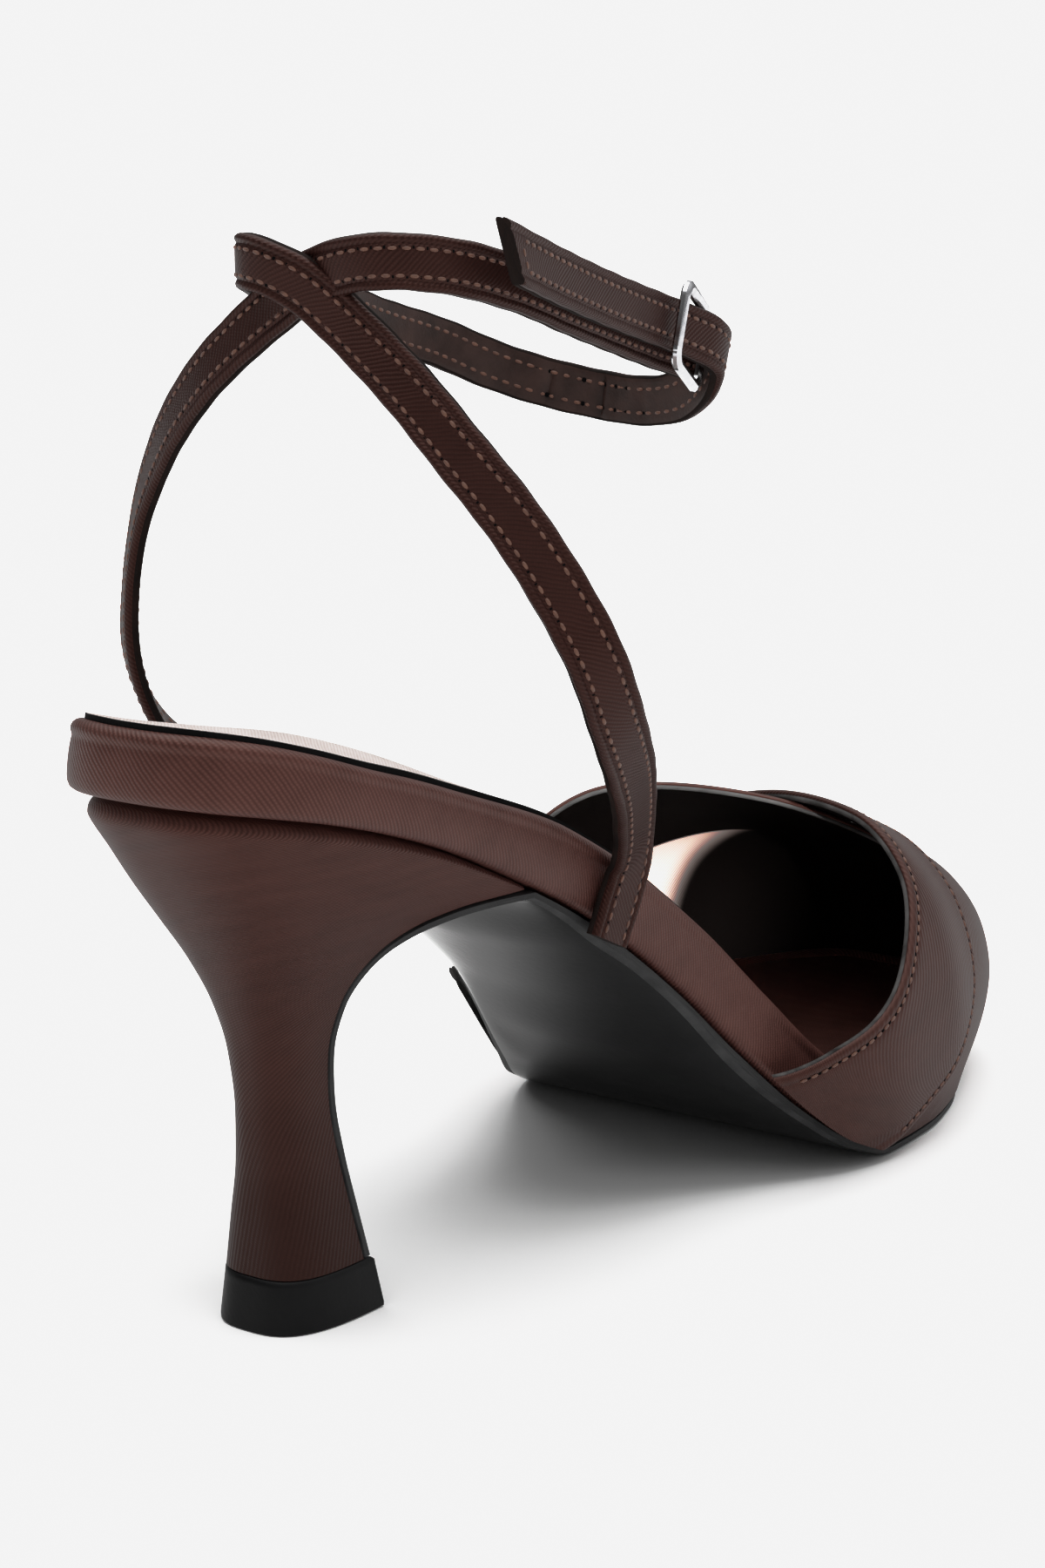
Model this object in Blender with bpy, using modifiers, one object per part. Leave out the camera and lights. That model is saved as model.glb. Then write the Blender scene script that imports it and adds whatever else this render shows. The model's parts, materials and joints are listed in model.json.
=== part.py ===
"""Open-back sandal on a high flared heel, with two crossing vamp bands and ankle straps that cross.

It is the right shoe. In the model's own frame +X points to the toe, +Y to the medial side and +Z up,
and the shoe stands on z = 0. Sizes are in millimetres and are turned into metres when meshes are made.
"""

import math
from collections import namedtuple

import bmesh
import bpy
from mathutils import Vector

MM = 0.001

# Driving dimensions
SHOE_LENGTH = 208.4
BOARD_LENGTH = 205.4
BOX_CENTRE_Y = 0.53
GAP = 0.3
VAMP_GAP = 0.5
SOCK_GAP = 0.45
BOARD_THICKNESS = 9.8
BOARD_ROUNDING = 3.0
OUTSOLE_THICKNESS = 1.6
OUTSOLE_SET_IN = 1.6
SOCK_THICKNESS = 0.8
SOCK_SET_IN = 3.4
SOCK_BACK = 6.5
SOCK_FRONT = 118.0
LIFT_HEIGHT = 7.9
VAMP_WALL = 1.8
TOE_FRONT = 206.5
VAMP_STEP = 1.0
STRAP_THICKNESS = 2.2
BUCKLE_WIRE = 1.9
BUCKLE_WIDTH = 12.4
BUCKLE_CORNER = 2.2

# Mesh fineness
SOLE_STEPS = 62
SOLE_COLUMNS = 6
HEEL_RINGS = 26
HEEL_RING_POINTS = 26
BAND_STEPS = 30
BAND_COLUMNS = 10
TOE_COLUMNS = 20
TOE_EASING = 1.8
STRAP_STEPS_PER_ROW = 3

# Sole: underside height of the wrapped board and its half widths, at distances from the seat back
SoleRow = namedtuple("SoleRow", "x bottom lateral medial")
SOLE_ROWS = [
    SoleRow(0.0, 82.0, 5.0, 4.6),
    SoleRow(1.5, 81.8, 10.2, 9.8),
    SoleRow(4.5, 81.3, 14.8, 14.6),
    SoleRow(10.0, 80.2, 19.0, 18.9),
    SoleRow(19.0, 78.0, 22.0, 22.0),
    SoleRow(38.0, 71.6, 24.0, 23.6),
    SoleRow(57.0, 62.7, 24.6, 23.0),
    SoleRow(76.0, 52.0, 24.8, 21.4),
    SoleRow(95.0, 37.4, 26.6, 22.0),
    SoleRow(108.0, 24.4, 29.4, 24.6),
    SoleRow(120.0, 12.6, 32.2, 28.4),
    SoleRow(130.0, 5.4, 34.4, 32.4),
    SoleRow(140.0, 1.9, 35.4, 35.4),
    SoleRow(152.0, 1.9, 34.8, 37.0),
    SoleRow(166.0, 1.9, 31.6, 36.0),
    SoleRow(180.0, 1.9, 25.0, 31.0),
    SoleRow(192.0, 2.2, 17.0, 24.0),
    SoleRow(201.0, 2.6, 11.0, 17.4),
    SoleRow(204.0, 2.8, 7.4, 14.2),
    SoleRow(BOARD_LENGTH, 2.9, 4.0, 11.0),
]

# Heel: each section is a D with a round back and a flat front; bow follows the sole's curve
HeelRow = namedtuple("HeelRow", "back_x back_z front_x front_z half_width fullness bow")
HEEL_ROWS = [
    HeelRow(3.4, 80.9, 59.4, 61.0, 21.2, 2.9, 1.0),
    HeelRow(2.4, 79.2, 60.0, 60.4, 22.2, 2.9, 0.9),
    HeelRow(5.6, 73.4, 51.0, 60.2, 20.2, 2.7, 0.4),
    HeelRow(9.4, 67.3, 44.0, 59.0, 17.6, 2.6, 0.1),
    HeelRow(13.2, 61.4, 39.2, 56.6, 14.6, 2.5, 0.0),
    HeelRow(17.0, 55.4, 35.9, 52.6, 11.4, 2.45, 0.0),
    HeelRow(20.6, 48.2, 33.8, 47.0, 8.6, 2.45, 0.0),
    HeelRow(22.9, 40.6, 32.9, 40.0, 7.0, 2.5, 0.0),
    HeelRow(23.8, 32.0, 33.4, 32.0, 6.5, 2.55, 0.0),
    HeelRow(23.8, 24.0, 34.5, 24.0, 7.0, 2.6, 0.0),
    HeelRow(23.2, 16.0, 35.8, 16.0, 8.0, 2.8, 0.0),
    HeelRow(22.7, 8.2, 37.1, 8.2, 9.1, 3.0, 0.0),
]

# Top lift: the same D, from the floor up
LIFT_ROWS = [
    HeelRow(21.3, 0.0, 40.2, 0.0, 10.2, 3.0, 0.0),
    HeelRow(22.5, LIFT_HEIGHT, 39.0, LIFT_HEIGHT, 9.3, 3.0, 0.0),
]

# Forefoot of the last: the widest half widths of the upper and the height of its crown
ForefootRow = namedtuple("ForefootRow", "x lateral medial crown")
FOREFOOT_ROWS = [
    ForefootRow(100.0, 33.0, 28.0, 64.0),
    ForefootRow(120.0, 38.5, 33.5, 63.0),
    ForefootRow(135.0, 41.0, 39.0, 60.6),
    ForefootRow(150.0, 40.5, 42.0, 55.2),
    ForefootRow(165.0, 36.6, 41.0, 48.2),
    ForefootRow(180.0, 32.2, 36.0, 42.2),
    ForefootRow(190.0, 27.6, 30.6, 37.4),
    ForefootRow(198.0, 21.4, 24.4, 29.6),
    ForefootRow(203.0, 13.0, 18.4, 21.4),
    ForefootRow(205.4, 8.8, 15.4, 16.0),
    ForefootRow(206.1, 6.6, 13.6, 12.6),
    ForefootRow(TOE_FRONT, 5.0, 12.0, 4.6),
]

# Forefoot section: half of it, from the base (0) to the crown (0.5), as shares of half width and height
SectionRow = namedtuple("SectionRow", "round_last out up tuck")
SECTION_ROWS = [
    SectionRow(0.0, 1.0, 0.0, 1.0),
    SectionRow(0.1, 1.0, 0.2, 0.46),
    SectionRow(0.2, 0.96, 0.45, 0.1),
    SectionRow(0.3, 0.82, 0.73, 0.0),
    SectionRow(0.4, 0.5, 0.93, 0.0),
    SectionRow(0.5, 0.0, 1.0, 0.0),
]

# Vamp bands: where their edges cross the last, from a band's own side (0) over the crown (0.5)
BandRow = namedtuple("BandRow", "round_last rear front")
OUTER_BAND_ROWS = [
    BandRow(0.0, 111.5, 136.0),
    BandRow(0.1, 119.5, 155.0),
    BandRow(0.2, 133.5, 166.0),
    BandRow(0.3, 146.0, 169.0),
    BandRow(0.4, 153.5, 171.0),
    BandRow(0.5, 162.5, 176.0),
    BandRow(0.6, 168.0, 181.0),
    BandRow(0.75, 169.0, 186.0),
    BandRow(0.9, 162.0, 186.0),
    BandRow(1.0, 152.0, 182.0),
]
INNER_BAND_ROWS = [
    BandRow(0.0, 101.0, TOE_FRONT),
    BandRow(0.1, 118.0, TOE_FRONT),
    BandRow(0.2, 126.5, TOE_FRONT),
    BandRow(0.3, 133.5, TOE_FRONT),
    BandRow(0.4, 146.0, TOE_FRONT),
    BandRow(0.5, 160.0, TOE_FRONT),
    BandRow(0.6, 166.0, TOE_FRONT),
    BandRow(0.75, 160.0, TOE_FRONT),
    BandRow(0.9, 143.0, TOE_FRONT),
    BandRow(1.0, 122.0, TOE_FRONT),
]

# Ankle straps: centre line, the way the outer face looks seen from above (degrees) and the width
StrapRow = namedtuple("StrapRow", "x y z face width")
LATERAL_STRAP_ROWS = [
    StrapRow(75.4, -26.4, 52.0, -90, 8.8),
    StrapRow(78.6, -26.9, 58.6, -92, 8.8),
    StrapRow(77.6, -29.0, 64.4, -96, 8.8),
    StrapRow(71.6, -33.6, 71.6, -104, 8.7),
    StrapRow(63.4, -38.8, 79.0, -112, 8.6),
    StrapRow(54.8, -42.6, 88.0, -120, 8.5),
    StrapRow(48.8, -43.0, 98.6, -127, 8.4),
    StrapRow(46.0, -38.4, 108.8, -134, 8.3),
    StrapRow(44.0, -32.4, 117.8, -141, 8.2),
    StrapRow(42.2, -25.4, 126.0, -149, 8.1),
    StrapRow(41.4, -17.4, 134.2, -158, 8.0),
    StrapRow(39.4, -9.0, 142.4, -168, 7.9),
    StrapRow(37.0, -3.2, 147.8, -177, 7.9),
    StrapRow(35.2, 1.6, 150.4, -190, 7.8),
    StrapRow(35.6, 6.0, 151.2, -216, 7.8),
    StrapRow(39.8, 10.0, 150.6, -243, 7.7),
    StrapRow(50.0, 14.0, 147.6, -256, 7.7),
    StrapRow(66.0, 18.2, 143.4, -262, 7.7),
    StrapRow(81.0, 20.8, 138.8, -268, 7.7),
    StrapRow(95.4, 20.2, 134.6, -282, 7.7),
    StrapRow(104.4, 16.8, 130.6, -305, 7.7),
    StrapRow(109.6, 10.6, 127.8, -322, 7.7),
    StrapRow(113.4, 2.6, 125.8, -338, 7.7),
    StrapRow(113.2, -6.4, 125.2, -352, 7.7),
    StrapRow(112.0, -14.2, 126.4, -368, 7.7),
    StrapRow(110.0, -20.4, 129.8, -400, 7.7),
    StrapRow(108.2, -24.3, 133.3, -430, 7.7),
    StrapRow(104.6, -25.4, 135.6, -450, 7.7),
    StrapRow(100.0, -24.9, 137.5, -455, 7.7),
    StrapRow(93.5, -24.4, 139.6, -452, 7.7),
    StrapRow(77.0, -26.4, 144.0, -443, 7.7),
    StrapRow(61.5, -28.8, 148.4, -441, 7.7),
    StrapRow(46.0, -31.8, 153.0, -439, 7.7),
]
MEDIAL_STRAP_ROWS = [
    StrapRow(75.4, 23.0, 52.0, 90, 8.8),
    StrapRow(78.6, 23.6, 58.6, 92, 8.8),
    StrapRow(77.4, 27.0, 63.4, 100, 8.8),
    StrapRow(71.8, 32.6, 67.0, 114, 8.7),
    StrapRow(64.6, 38.0, 69.6, 128, 8.6),
    StrapRow(57.2, 41.8, 74.8, 138, 8.5),
    StrapRow(52.0, 43.4, 82.0, 142, 8.4),
    StrapRow(48.9, 43.6, 91.0, 140, 8.4),
    StrapRow(48.4, 42.7, 100.6, 136, 8.3),
    StrapRow(47.6, 39.8, 110.4, 135, 8.2),
    StrapRow(46.0, 35.4, 118.0, 137, 8.1),
    StrapRow(43.0, 28.0, 126.4, 142, 8.0),
    StrapRow(40.8, 19.6, 134.0, 149, 7.9),
    StrapRow(40.2, 12.4, 139.6, 157, 7.8),
    StrapRow(40.2, 5.6, 144.4, 168, 7.8),
    StrapRow(39.8, 0.6, 147.4, 180, 7.7),
    StrapRow(38.8, -4.0, 149.4, 192, 7.7),
    StrapRow(38.0, -10.0, 151.0, 208, 7.7),
    StrapRow(39.0, -15.4, 151.6, 232, 7.7),
    StrapRow(42.6, -19.2, 151.3, 250, 7.7),
    StrapRow(49.4, -22.2, 150.0, 260, 7.7),
    StrapRow(60.4, -23.4, 147.0, 265, 7.7),
    StrapRow(71.5, -23.0, 143.4, 269, 7.7),
    StrapRow(82.5, -21.8, 140.2, 274, 7.7),
    StrapRow(95.0, -20.7, 136.6, 274, 7.7),
    StrapRow(104.0, -20.3, 134.2, 271, 7.7),
    StrapRow(108.6, -20.2, 133.0, 270, 7.7),
]

# Buckle: centres of the bar over the tail and of the bar under it
BUCKLE_OUTER_BAR = Vector((93.6, -27.1, 139.7))
BUCKLE_INNER_BAR = Vector((105.4, -22.8, 134.2))

# Finishes: colour, roughness and metallic value
Finish = namedtuple("Finish", "red green blue roughness metallic")
SATIN = Finish(0.075, 0.032, 0.026, 0.38, 0.0)
LINING = Finish(0.42, 0.33, 0.30, 0.6, 0.0)
BLACK_RUBBER = Finish(0.008, 0.008, 0.009, 0.5, 0.0)
BLACK_SOLE = Finish(0.006, 0.006, 0.007, 0.25, 0.0)
CHROME = Finish(0.8, 0.8, 0.82, 0.12, 1.0)


def through(rows, along, column):
    """Return a smooth curve through one column of a table, with no overshoot between the rows."""
    places = [getattr(row, along) for row in rows]
    values = [getattr(row, column) for row in rows]
    return smooth_curve(places, values)


def smooth_curve(places, values, flowing=False):
    """Return a cubic curve through the values: monotone, or flowing with the mean slope at each place."""
    steps = [b - a for a, b in zip(places, places[1:])]
    rises = [(b - a) / step for a, b, step in zip(values, values[1:], steps)]
    slopes = [rises[0]]
    for before, after in zip(rises, rises[1:]):
        same_way = before * after > 0
        slopes.append(2 * before * after / (before + after) if same_way else 0.0)
        if flowing:
            slopes[-1] = (before + after) / 2
    slopes.append(rises[-1])

    def value(place):
        place = min(max(place, places[0]), places[-1])
        index = 0
        while index < len(steps) - 1 and place > places[index + 1]:
            index += 1
        step = steps[index]
        t = (place - places[index]) / step
        start = values[index] * (1 + 2 * t) * (1 - t) ** 2 + slopes[index] * step * t * (1 - t) ** 2
        end = values[index + 1] * t * t * (3 - 2 * t) + slopes[index + 1] * step * t * t * (t - 1)
        return start + end

    return value


def signed_power(base, exponent):
    """Return a power that keeps the sign of its base."""
    return math.copysign(abs(base) ** exponent, base)


board_bottom = through(SOLE_ROWS, "x", "bottom")
board_lateral = through(SOLE_ROWS, "x", "lateral")
board_medial = through(SOLE_ROWS, "x", "medial")


def board_normal(x):
    """Return the upward normal of the board's long profile at x."""
    reach = 0.5
    rise = board_bottom(min(x + reach, BOARD_LENGTH)) - board_bottom(max(x - reach, 0.0))
    run = min(x + reach, BOARD_LENGTH) - max(x - reach, 0.0)
    return Vector((-rise, 0.0, run)).normalized()


def across(x, side, set_in=0.0):
    """Return the place across the sole for side from -1, lateral edge, to +1, medial edge."""
    lateral = board_lateral(x) - set_in
    medial = board_medial(x) - set_in
    return (medial - lateral) / 2 + side * (medial + lateral) / 2


def end_spaced(fraction):
    """Return a fraction that moves slowly at both ends, where the outline turns."""
    slowing = 0.7
    return fraction - slowing * math.sin(2 * math.pi * fraction) / (2 * math.pi)


def paint(item, finish):
    """Give an object its own material."""
    material = bpy.data.materials.new(item.name)
    material.use_nodes = True
    shader = material.node_tree.nodes["Principled BSDF"]
    shader.inputs["Base Color"].default_value = (finish.red, finish.green, finish.blue, 1.0)
    shader.inputs["Roughness"].default_value = finish.roughness
    shader.inputs["Metallic"].default_value = finish.metallic
    item.data.materials.append(material)


def add_object(name, data, collection, parent):
    """Link new data as a named object under the shoe's empty."""
    item = bpy.data.objects.new(name, data)
    collection.objects.link(item)
    item.parent = parent
    return item


def mapped_grid(name, steps, columns, place):
    """Return a mesh grid whose points are placed by place(row, column)."""
    work = bmesh.new()
    bmesh.ops.create_grid(work, x_segments=steps, y_segments=columns, size=1.0)
    for vert in work.verts:
        row = round((vert.co.x + 1) / 2 * steps)
        column = round((vert.co.y + 1) / 2 * columns)
        vert.co = place(row, column) * MM
    mesh = bpy.data.meshes.new(name)
    work.to_mesh(mesh)
    work.free()
    return mesh


def thicken(item, thickness, offset):
    """Turn an open sheet into a wall."""
    wall = item.modifiers.new("wall", "SOLIDIFY")
    wall.thickness = thickness * MM
    wall.offset = offset
    wall.use_even_offset = True


def make_wrapped_insole(collection, parent):
    """Make the padded board that the satin is wrapped round."""

    def place(row, column):
        x = BOARD_LENGTH * end_spaced(row / SOLE_STEPS)
        side = 2 * column / SOLE_COLUMNS - 1
        return Vector((x, across(x, side), board_bottom(x)))

    mesh = mapped_grid("wrapped_insole", SOLE_STEPS, SOLE_COLUMNS, place)
    item = add_object("wrapped_insole", mesh, collection, parent)
    thicken(item, BOARD_THICKNESS, 1.0)
    edge = item.modifiers.new("edge", "BEVEL")
    edge.width = BOARD_ROUNDING * MM
    edge.segments = 2
    edge.limit_method = "ANGLE"
    edge.angle_limit = math.radians(60)
    paint(item, SATIN)


def make_insole_sock(collection, parent):
    """Make the thin sock on top of the board, round at both ends."""

    def place(row, column):
        fraction = end_spaced(row / SOLE_STEPS)
        x = SOCK_BACK + (SOCK_FRONT - SOCK_BACK) * fraction
        side = 2 * column / SOLE_COLUMNS - 1
        end_turn = 9.0
        from_end = min(x - SOCK_BACK, SOCK_FRONT - x)
        turn = min(from_end / end_turn, 1.0)
        narrow = 0.3 + 0.7 * math.sqrt(1 - (1 - turn) ** 2)
        centre = across(x, 0.0, SOCK_SET_IN)
        y = centre + (across(x, side, SOCK_SET_IN) - centre) * narrow
        lifted = board_normal(x) * (BOARD_THICKNESS + SOCK_GAP)
        return Vector((x, y, board_bottom(x))) + lifted

    mesh = mapped_grid("insole_sock", SOLE_STEPS, SOLE_COLUMNS, place)
    item = add_object("insole_sock", mesh, collection, parent)
    thicken(item, SOCK_THICKNESS, 1.0)
    paint(item, LINING)


def heel_front(fraction):
    """Return the heel's front point and half width, for a fraction from seat to lift."""
    at = fraction * (len(HEEL_ROWS) - 1)
    front = Vector((HEEL_CURVES["front_x"](at), 0.0, HEEL_CURVES["front_z"](at)))
    return front, HEEL_CURVES["half_width"](at)


def row_curves(rows, flowing=False):
    """Return a smooth curve over the row number for every column of a table."""
    numbers = list(range(len(rows)))
    columns = {name: [getattr(row, name) for row in rows] for name in rows[0]._fields}
    return {name: smooth_curve(numbers, values, flowing) for name, values in columns.items()}


HEEL_CURVES = row_curves(HEEL_ROWS)


def make_outsole(collection, parent):
    """Make the sole sheet, from the toe to the heel's front lip and down the heel's breast."""
    toe_x = BOARD_LENGTH - OUTSOLE_SET_IN
    lip_x = 61.6
    sole_steps = 34
    breast_steps = 18
    breast_start = 0.13
    stations = []
    for step in range(sole_steps + 1):
        x = toe_x - (toe_x - lip_x) * (step / sole_steps) ** 1.15
        middle = Vector((x, 0.0, board_bottom(x))) - board_normal(x) * GAP
        stations.append((middle, across(x, -1, OUTSOLE_SET_IN), across(x, 1, OUTSOLE_SET_IN)))
    for step in range(1, breast_steps + 1):
        fraction = breast_start + (1 - breast_start) * step / breast_steps
        point, half = heel_front(fraction)
        before, _ = heel_front(fraction - 0.01)
        after, _ = heel_front(min(fraction + 0.01, 1.0))
        run = after - before
        outward = Vector((-run.z, 0.0, run.x)).normalized()
        stations.append((point + outward * GAP, -half, half))

    def place(row, column):
        middle, lateral, medial = stations[row]
        part = column / SOLE_COLUMNS
        return Vector((middle.x, lateral + (medial - lateral) * part, middle.z))

    mesh = mapped_grid("outsole", len(stations) - 1, SOLE_COLUMNS, place)
    item = add_object("outsole", mesh, collection, parent)
    thicken(item, OUTSOLE_THICKNESS, 1.0)
    paint(item, BLACK_SOLE)


def heel_ring(curves, at):
    """Return the points of one D section, flat front first and then round the back."""
    back_x, front_x = curves["back_x"](at), curves["front_x"](at)
    back_z, front_z = curves["back_z"](at), curves["front_z"](at)
    half, fullness, bow = curves["half_width"](at), curves["fullness"](at), curves["bow"](at)
    length = front_x - back_x
    seat_back = board_bottom(back_x)
    seat_front = board_bottom(front_x)
    front_points = 5
    flat = [(front_x, half * (1 - 2 * step / front_points)) for step in range(front_points)]
    curve_points = HEEL_RING_POINTS - front_points
    curved = []
    for step in range(curve_points):
        angle = -math.pi / 2 + math.pi * step / curve_points
        x = front_x - length * abs(math.cos(angle)) ** (2 / fullness)
        curved.append((x, half * signed_power(math.sin(angle), 2 / fullness)))
    ring = []
    for x, y in flat + curved:
        part = (x - back_x) / length
        chord = back_z + (front_z - back_z) * part
        seat_chord = seat_back + (seat_front - seat_back) * part
        ring.append(Vector((x, y, chord + bow * (board_bottom(x) - seat_chord))))
    return ring


def loft(name, rings):
    """Return a closed mesh through rings of equal count, capped by fans."""
    work = bmesh.new()
    loops = [[work.verts.new(point * MM) for point in ring] for ring in rings]
    count = len(loops[0])
    for upper, lower in zip(loops, loops[1:]):
        for index in range(count):
            following = (index + 1) % count
            work.faces.new((upper[index], upper[following], lower[following], lower[index]))
    for loop in (loops[0], loops[-1]):
        centre = work.verts.new(sum((vert.co for vert in loop), Vector()) / count)
        for index in range(count):
            work.faces.new((loop[index], loop[(index + 1) % count], centre))
    bmesh.ops.recalc_face_normals(work, faces=work.faces)
    mesh = bpy.data.meshes.new(name)
    work.to_mesh(mesh)
    work.free()
    return mesh


def make_heel(collection, parent):
    """Make the flared heel under the seat."""
    last_row = len(HEEL_ROWS) - 1
    rings = [heel_ring(HEEL_CURVES, last_row * step / HEEL_RINGS) for step in range(HEEL_RINGS + 1)]
    item = add_object("heel", loft("heel", rings), collection, parent)
    paint(item, SATIN)


def make_top_lift(collection, parent):
    """Make the heel tip that stands on the floor."""
    curves = row_curves(LIFT_ROWS)
    rings = [heel_ring(curves, 0), heel_ring(curves, 1)]
    item = add_object("top_lift", loft("top_lift", rings), collection, parent)
    paint(item, BLACK_RUBBER)


FOREFOOT_CURVES = {name: through(FOREFOOT_ROWS, "x", name) for name in ("lateral", "medial", "crown")}


def whole_section(column, sign):
    """Return a section column as a curve from base to base, the far half taking the sign."""
    places = [row.round_last for row in SECTION_ROWS]
    values = [getattr(row, column) for row in SECTION_ROWS]
    far_places = [1 - place for place in reversed(places[:-1])]
    far_values = [sign * value for value in reversed(values[:-1])]
    return smooth_curve(places + far_places, values + far_values)


SECTION_CURVES = {
    "out": whole_section("out", -1),
    "up": whole_section("up", 1),
    "tuck": whole_section("tuck", -1),
}


def last_point(x, round_last, lift):
    """Return a point on the forefoot, round_last going from 0, lateral base, to 1, medial base."""
    lateral_side = round_last < 0.5
    widest = FOREFOOT_CURVES["lateral" if lateral_side else "medial"](x)
    base = (board_lateral(x) if lateral_side else board_medial(x)) + VAMP_GAP
    height = FOREFOOT_CURVES["crown"](x) - board_bottom(x) + lift
    out = (widest + lift) * SECTION_CURVES["out"](round_last)
    tucked = (widest - base) * SECTION_CURVES["tuck"](round_last)
    return Vector((x, tucked - out, board_bottom(x) + GAP + height * SECTION_CURVES["up"](round_last)))


def band_mesh(name, rows, mirrored, lift, columns=BAND_COLUMNS, easing=1.0):
    """Return the sheet of one vamp band; easing above 1 sets its columns closer towards the toe."""
    rear = through(rows, "round_last", "rear")
    front = through(rows, "round_last", "front")

    def place(row, column):
        part = row / BAND_STEPS
        along = 1 - (1 - column / columns) ** easing
        x = rear(part) + (front(part) - rear(part)) * along
        return last_point(x, 1 - part if mirrored else part, lift)

    return mapped_grid(name, BAND_STEPS, columns, place)


def make_vamp(collection, guides, parent):
    """Make the inner band, which closes the toe, and the outer one that crosses it, and join them."""
    outer_mesh = band_mesh("vamp", OUTER_BAND_ROWS, False, VAMP_STEP)
    inner_mesh = band_mesh("vamp_inner_band", INNER_BAND_ROWS, True, 0.0, TOE_COLUMNS, TOE_EASING)
    outer = add_object("vamp", outer_mesh, collection, parent)
    inner = add_object("vamp_inner_band", inner_mesh, guides, parent)
    thicken(outer, VAMP_WALL, -1.0)
    thicken(inner, VAMP_WALL, 1.0)
    join(outer, inner)
    paint(outer, SATIN)


def join(item, other):
    """Join another object to an item by a union of flat triangles, and keep it as a hidden guide."""
    other.hide_render = True
    other.display_type = "WIRE"
    for piece in (item, other):
        piece.modifiers.new("flat", "TRIANGULATE")
    union = item.modifiers.new("join", "BOOLEAN")
    union.operation = "UNION"
    union.solver = "EXACT"
    union.object = other


def strap_mesh(name, rows):
    """Return the sheet of a strap along its centre line."""
    curves = row_curves(rows, flowing=True)
    steps = (len(rows) - 1) * STRAP_STEPS_PER_ROW
    strap_columns = 2
    reach = 0.05

    def centre(at):
        return Vector((curves["x"](at), curves["y"](at), curves["z"](at)))

    def place(row, column):
        at = row / STRAP_STEPS_PER_ROW
        along = (centre(min(at + reach, len(rows) - 1)) - centre(max(at - reach, 0))).normalized()
        face = math.radians(curves["face"](at))
        outward = Vector((math.cos(face), math.sin(face), 0.0))
        outward = (outward - along * outward.dot(along)).normalized()
        wide = along.cross(outward)
        return centre(at) + wide * curves["width"](at) * (column / strap_columns - 0.5)

    return mapped_grid(name, steps, strap_columns, place)


def make_ankle_straps(collection, guides, parent):
    """Make the two ankle straps and join them where they cross behind the ankle."""
    lateral = add_object("ankle_straps", strap_mesh("ankle_straps", LATERAL_STRAP_ROWS), collection, parent)
    medial = add_object("medial_strap", strap_mesh("medial_strap", MEDIAL_STRAP_ROWS), guides, parent)
    thicken(lateral, STRAP_THICKNESS, 0.0)
    thicken(medial, STRAP_THICKNESS, 0.0)
    join(lateral, medial)
    paint(lateral, SATIN)


def make_buckle_frame(collection, parent):
    """Make the rectangular frame: one bar lies over the strap's tail and one under it."""
    along = (BUCKLE_INNER_BAR - BUCKLE_OUTER_BAR).normalized()
    face = Vector((-0.25, -0.95, 0.15))
    across_frame = along.cross(face).normalized()
    half = BUCKLE_WIDTH / 2
    corner_steps = 5
    corners = [
        (BUCKLE_OUTER_BAR, 1, -along),
        (BUCKLE_OUTER_BAR, -1, -along),
        (BUCKLE_INNER_BAR, -1, along),
        (BUCKLE_INNER_BAR, 1, along),
    ]
    points = []
    for number, (bar, way, ahead) in enumerate(corners):
        pivot = bar - ahead * BUCKLE_CORNER + across_frame * way * (half - BUCKLE_CORNER)
        for step in range(corner_steps + 1):
            turn = math.pi / 2 * step / corner_steps
            if number % 2:
                turn = math.pi / 2 - turn
            reach_out = across_frame * way * math.cos(turn) + ahead * math.sin(turn)
            points.append(pivot + reach_out * BUCKLE_CORNER)
    curve = bpy.data.curves.new("buckle_frame", "CURVE")
    curve.dimensions = "3D"
    curve.bevel_depth = BUCKLE_WIRE / 2 * MM
    curve.bevel_resolution = 2
    spline = curve.splines.new("POLY")
    spline.points.add(len(points) - 1)
    for target, point in zip(spline.points, points):
        target.co = (*(point * MM), 1.0)
    spline.use_cyclic_u = True
    item = add_object("buckle_frame", curve, collection, parent)
    paint(item, CHROME)


def main():
    """Build every piece under one empty, whose place puts the box's bottom centre at the origin."""
    for item in list(bpy.data.objects):
        bpy.data.objects.remove(item)
    parts = bpy.data.collections.new("ankle_wrap_sandal")
    guides = bpy.data.collections.new("guides")
    for collection in (parts, guides):
        bpy.context.scene.collection.children.link(collection)
    shoe = bpy.data.objects.new("shoe", None)
    parts.objects.link(shoe)
    shoe.location = (-SHOE_LENGTH / 2 * MM, -BOX_CENTRE_Y * MM, 0.0)
    make_outsole(parts, shoe)
    make_wrapped_insole(parts, shoe)
    make_insole_sock(parts, shoe)
    make_heel(parts, shoe)
    make_top_lift(parts, shoe)
    make_vamp(parts, guides, shoe)
    make_ankle_straps(parts, guides, shoe)
    make_buckle_frame(parts, shoe)


main()
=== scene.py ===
"""Looks of a right-foot satin shoe on a high flared heel.

Two wide bands cross over the toes, and a strap wraps the ankle. Lengths in the tables are millimetres
from the back of the seat: x to the toe, y to the medial side, z up.
"""

from __future__ import annotations

import bisect
import json
import logging
import math
from collections.abc import Callable
from dataclasses import dataclass, field
from enum import IntEnum
from typing import NamedTuple

import bmesh
import bpy
from mathutils import Matrix, Quaternion, Vector

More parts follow.
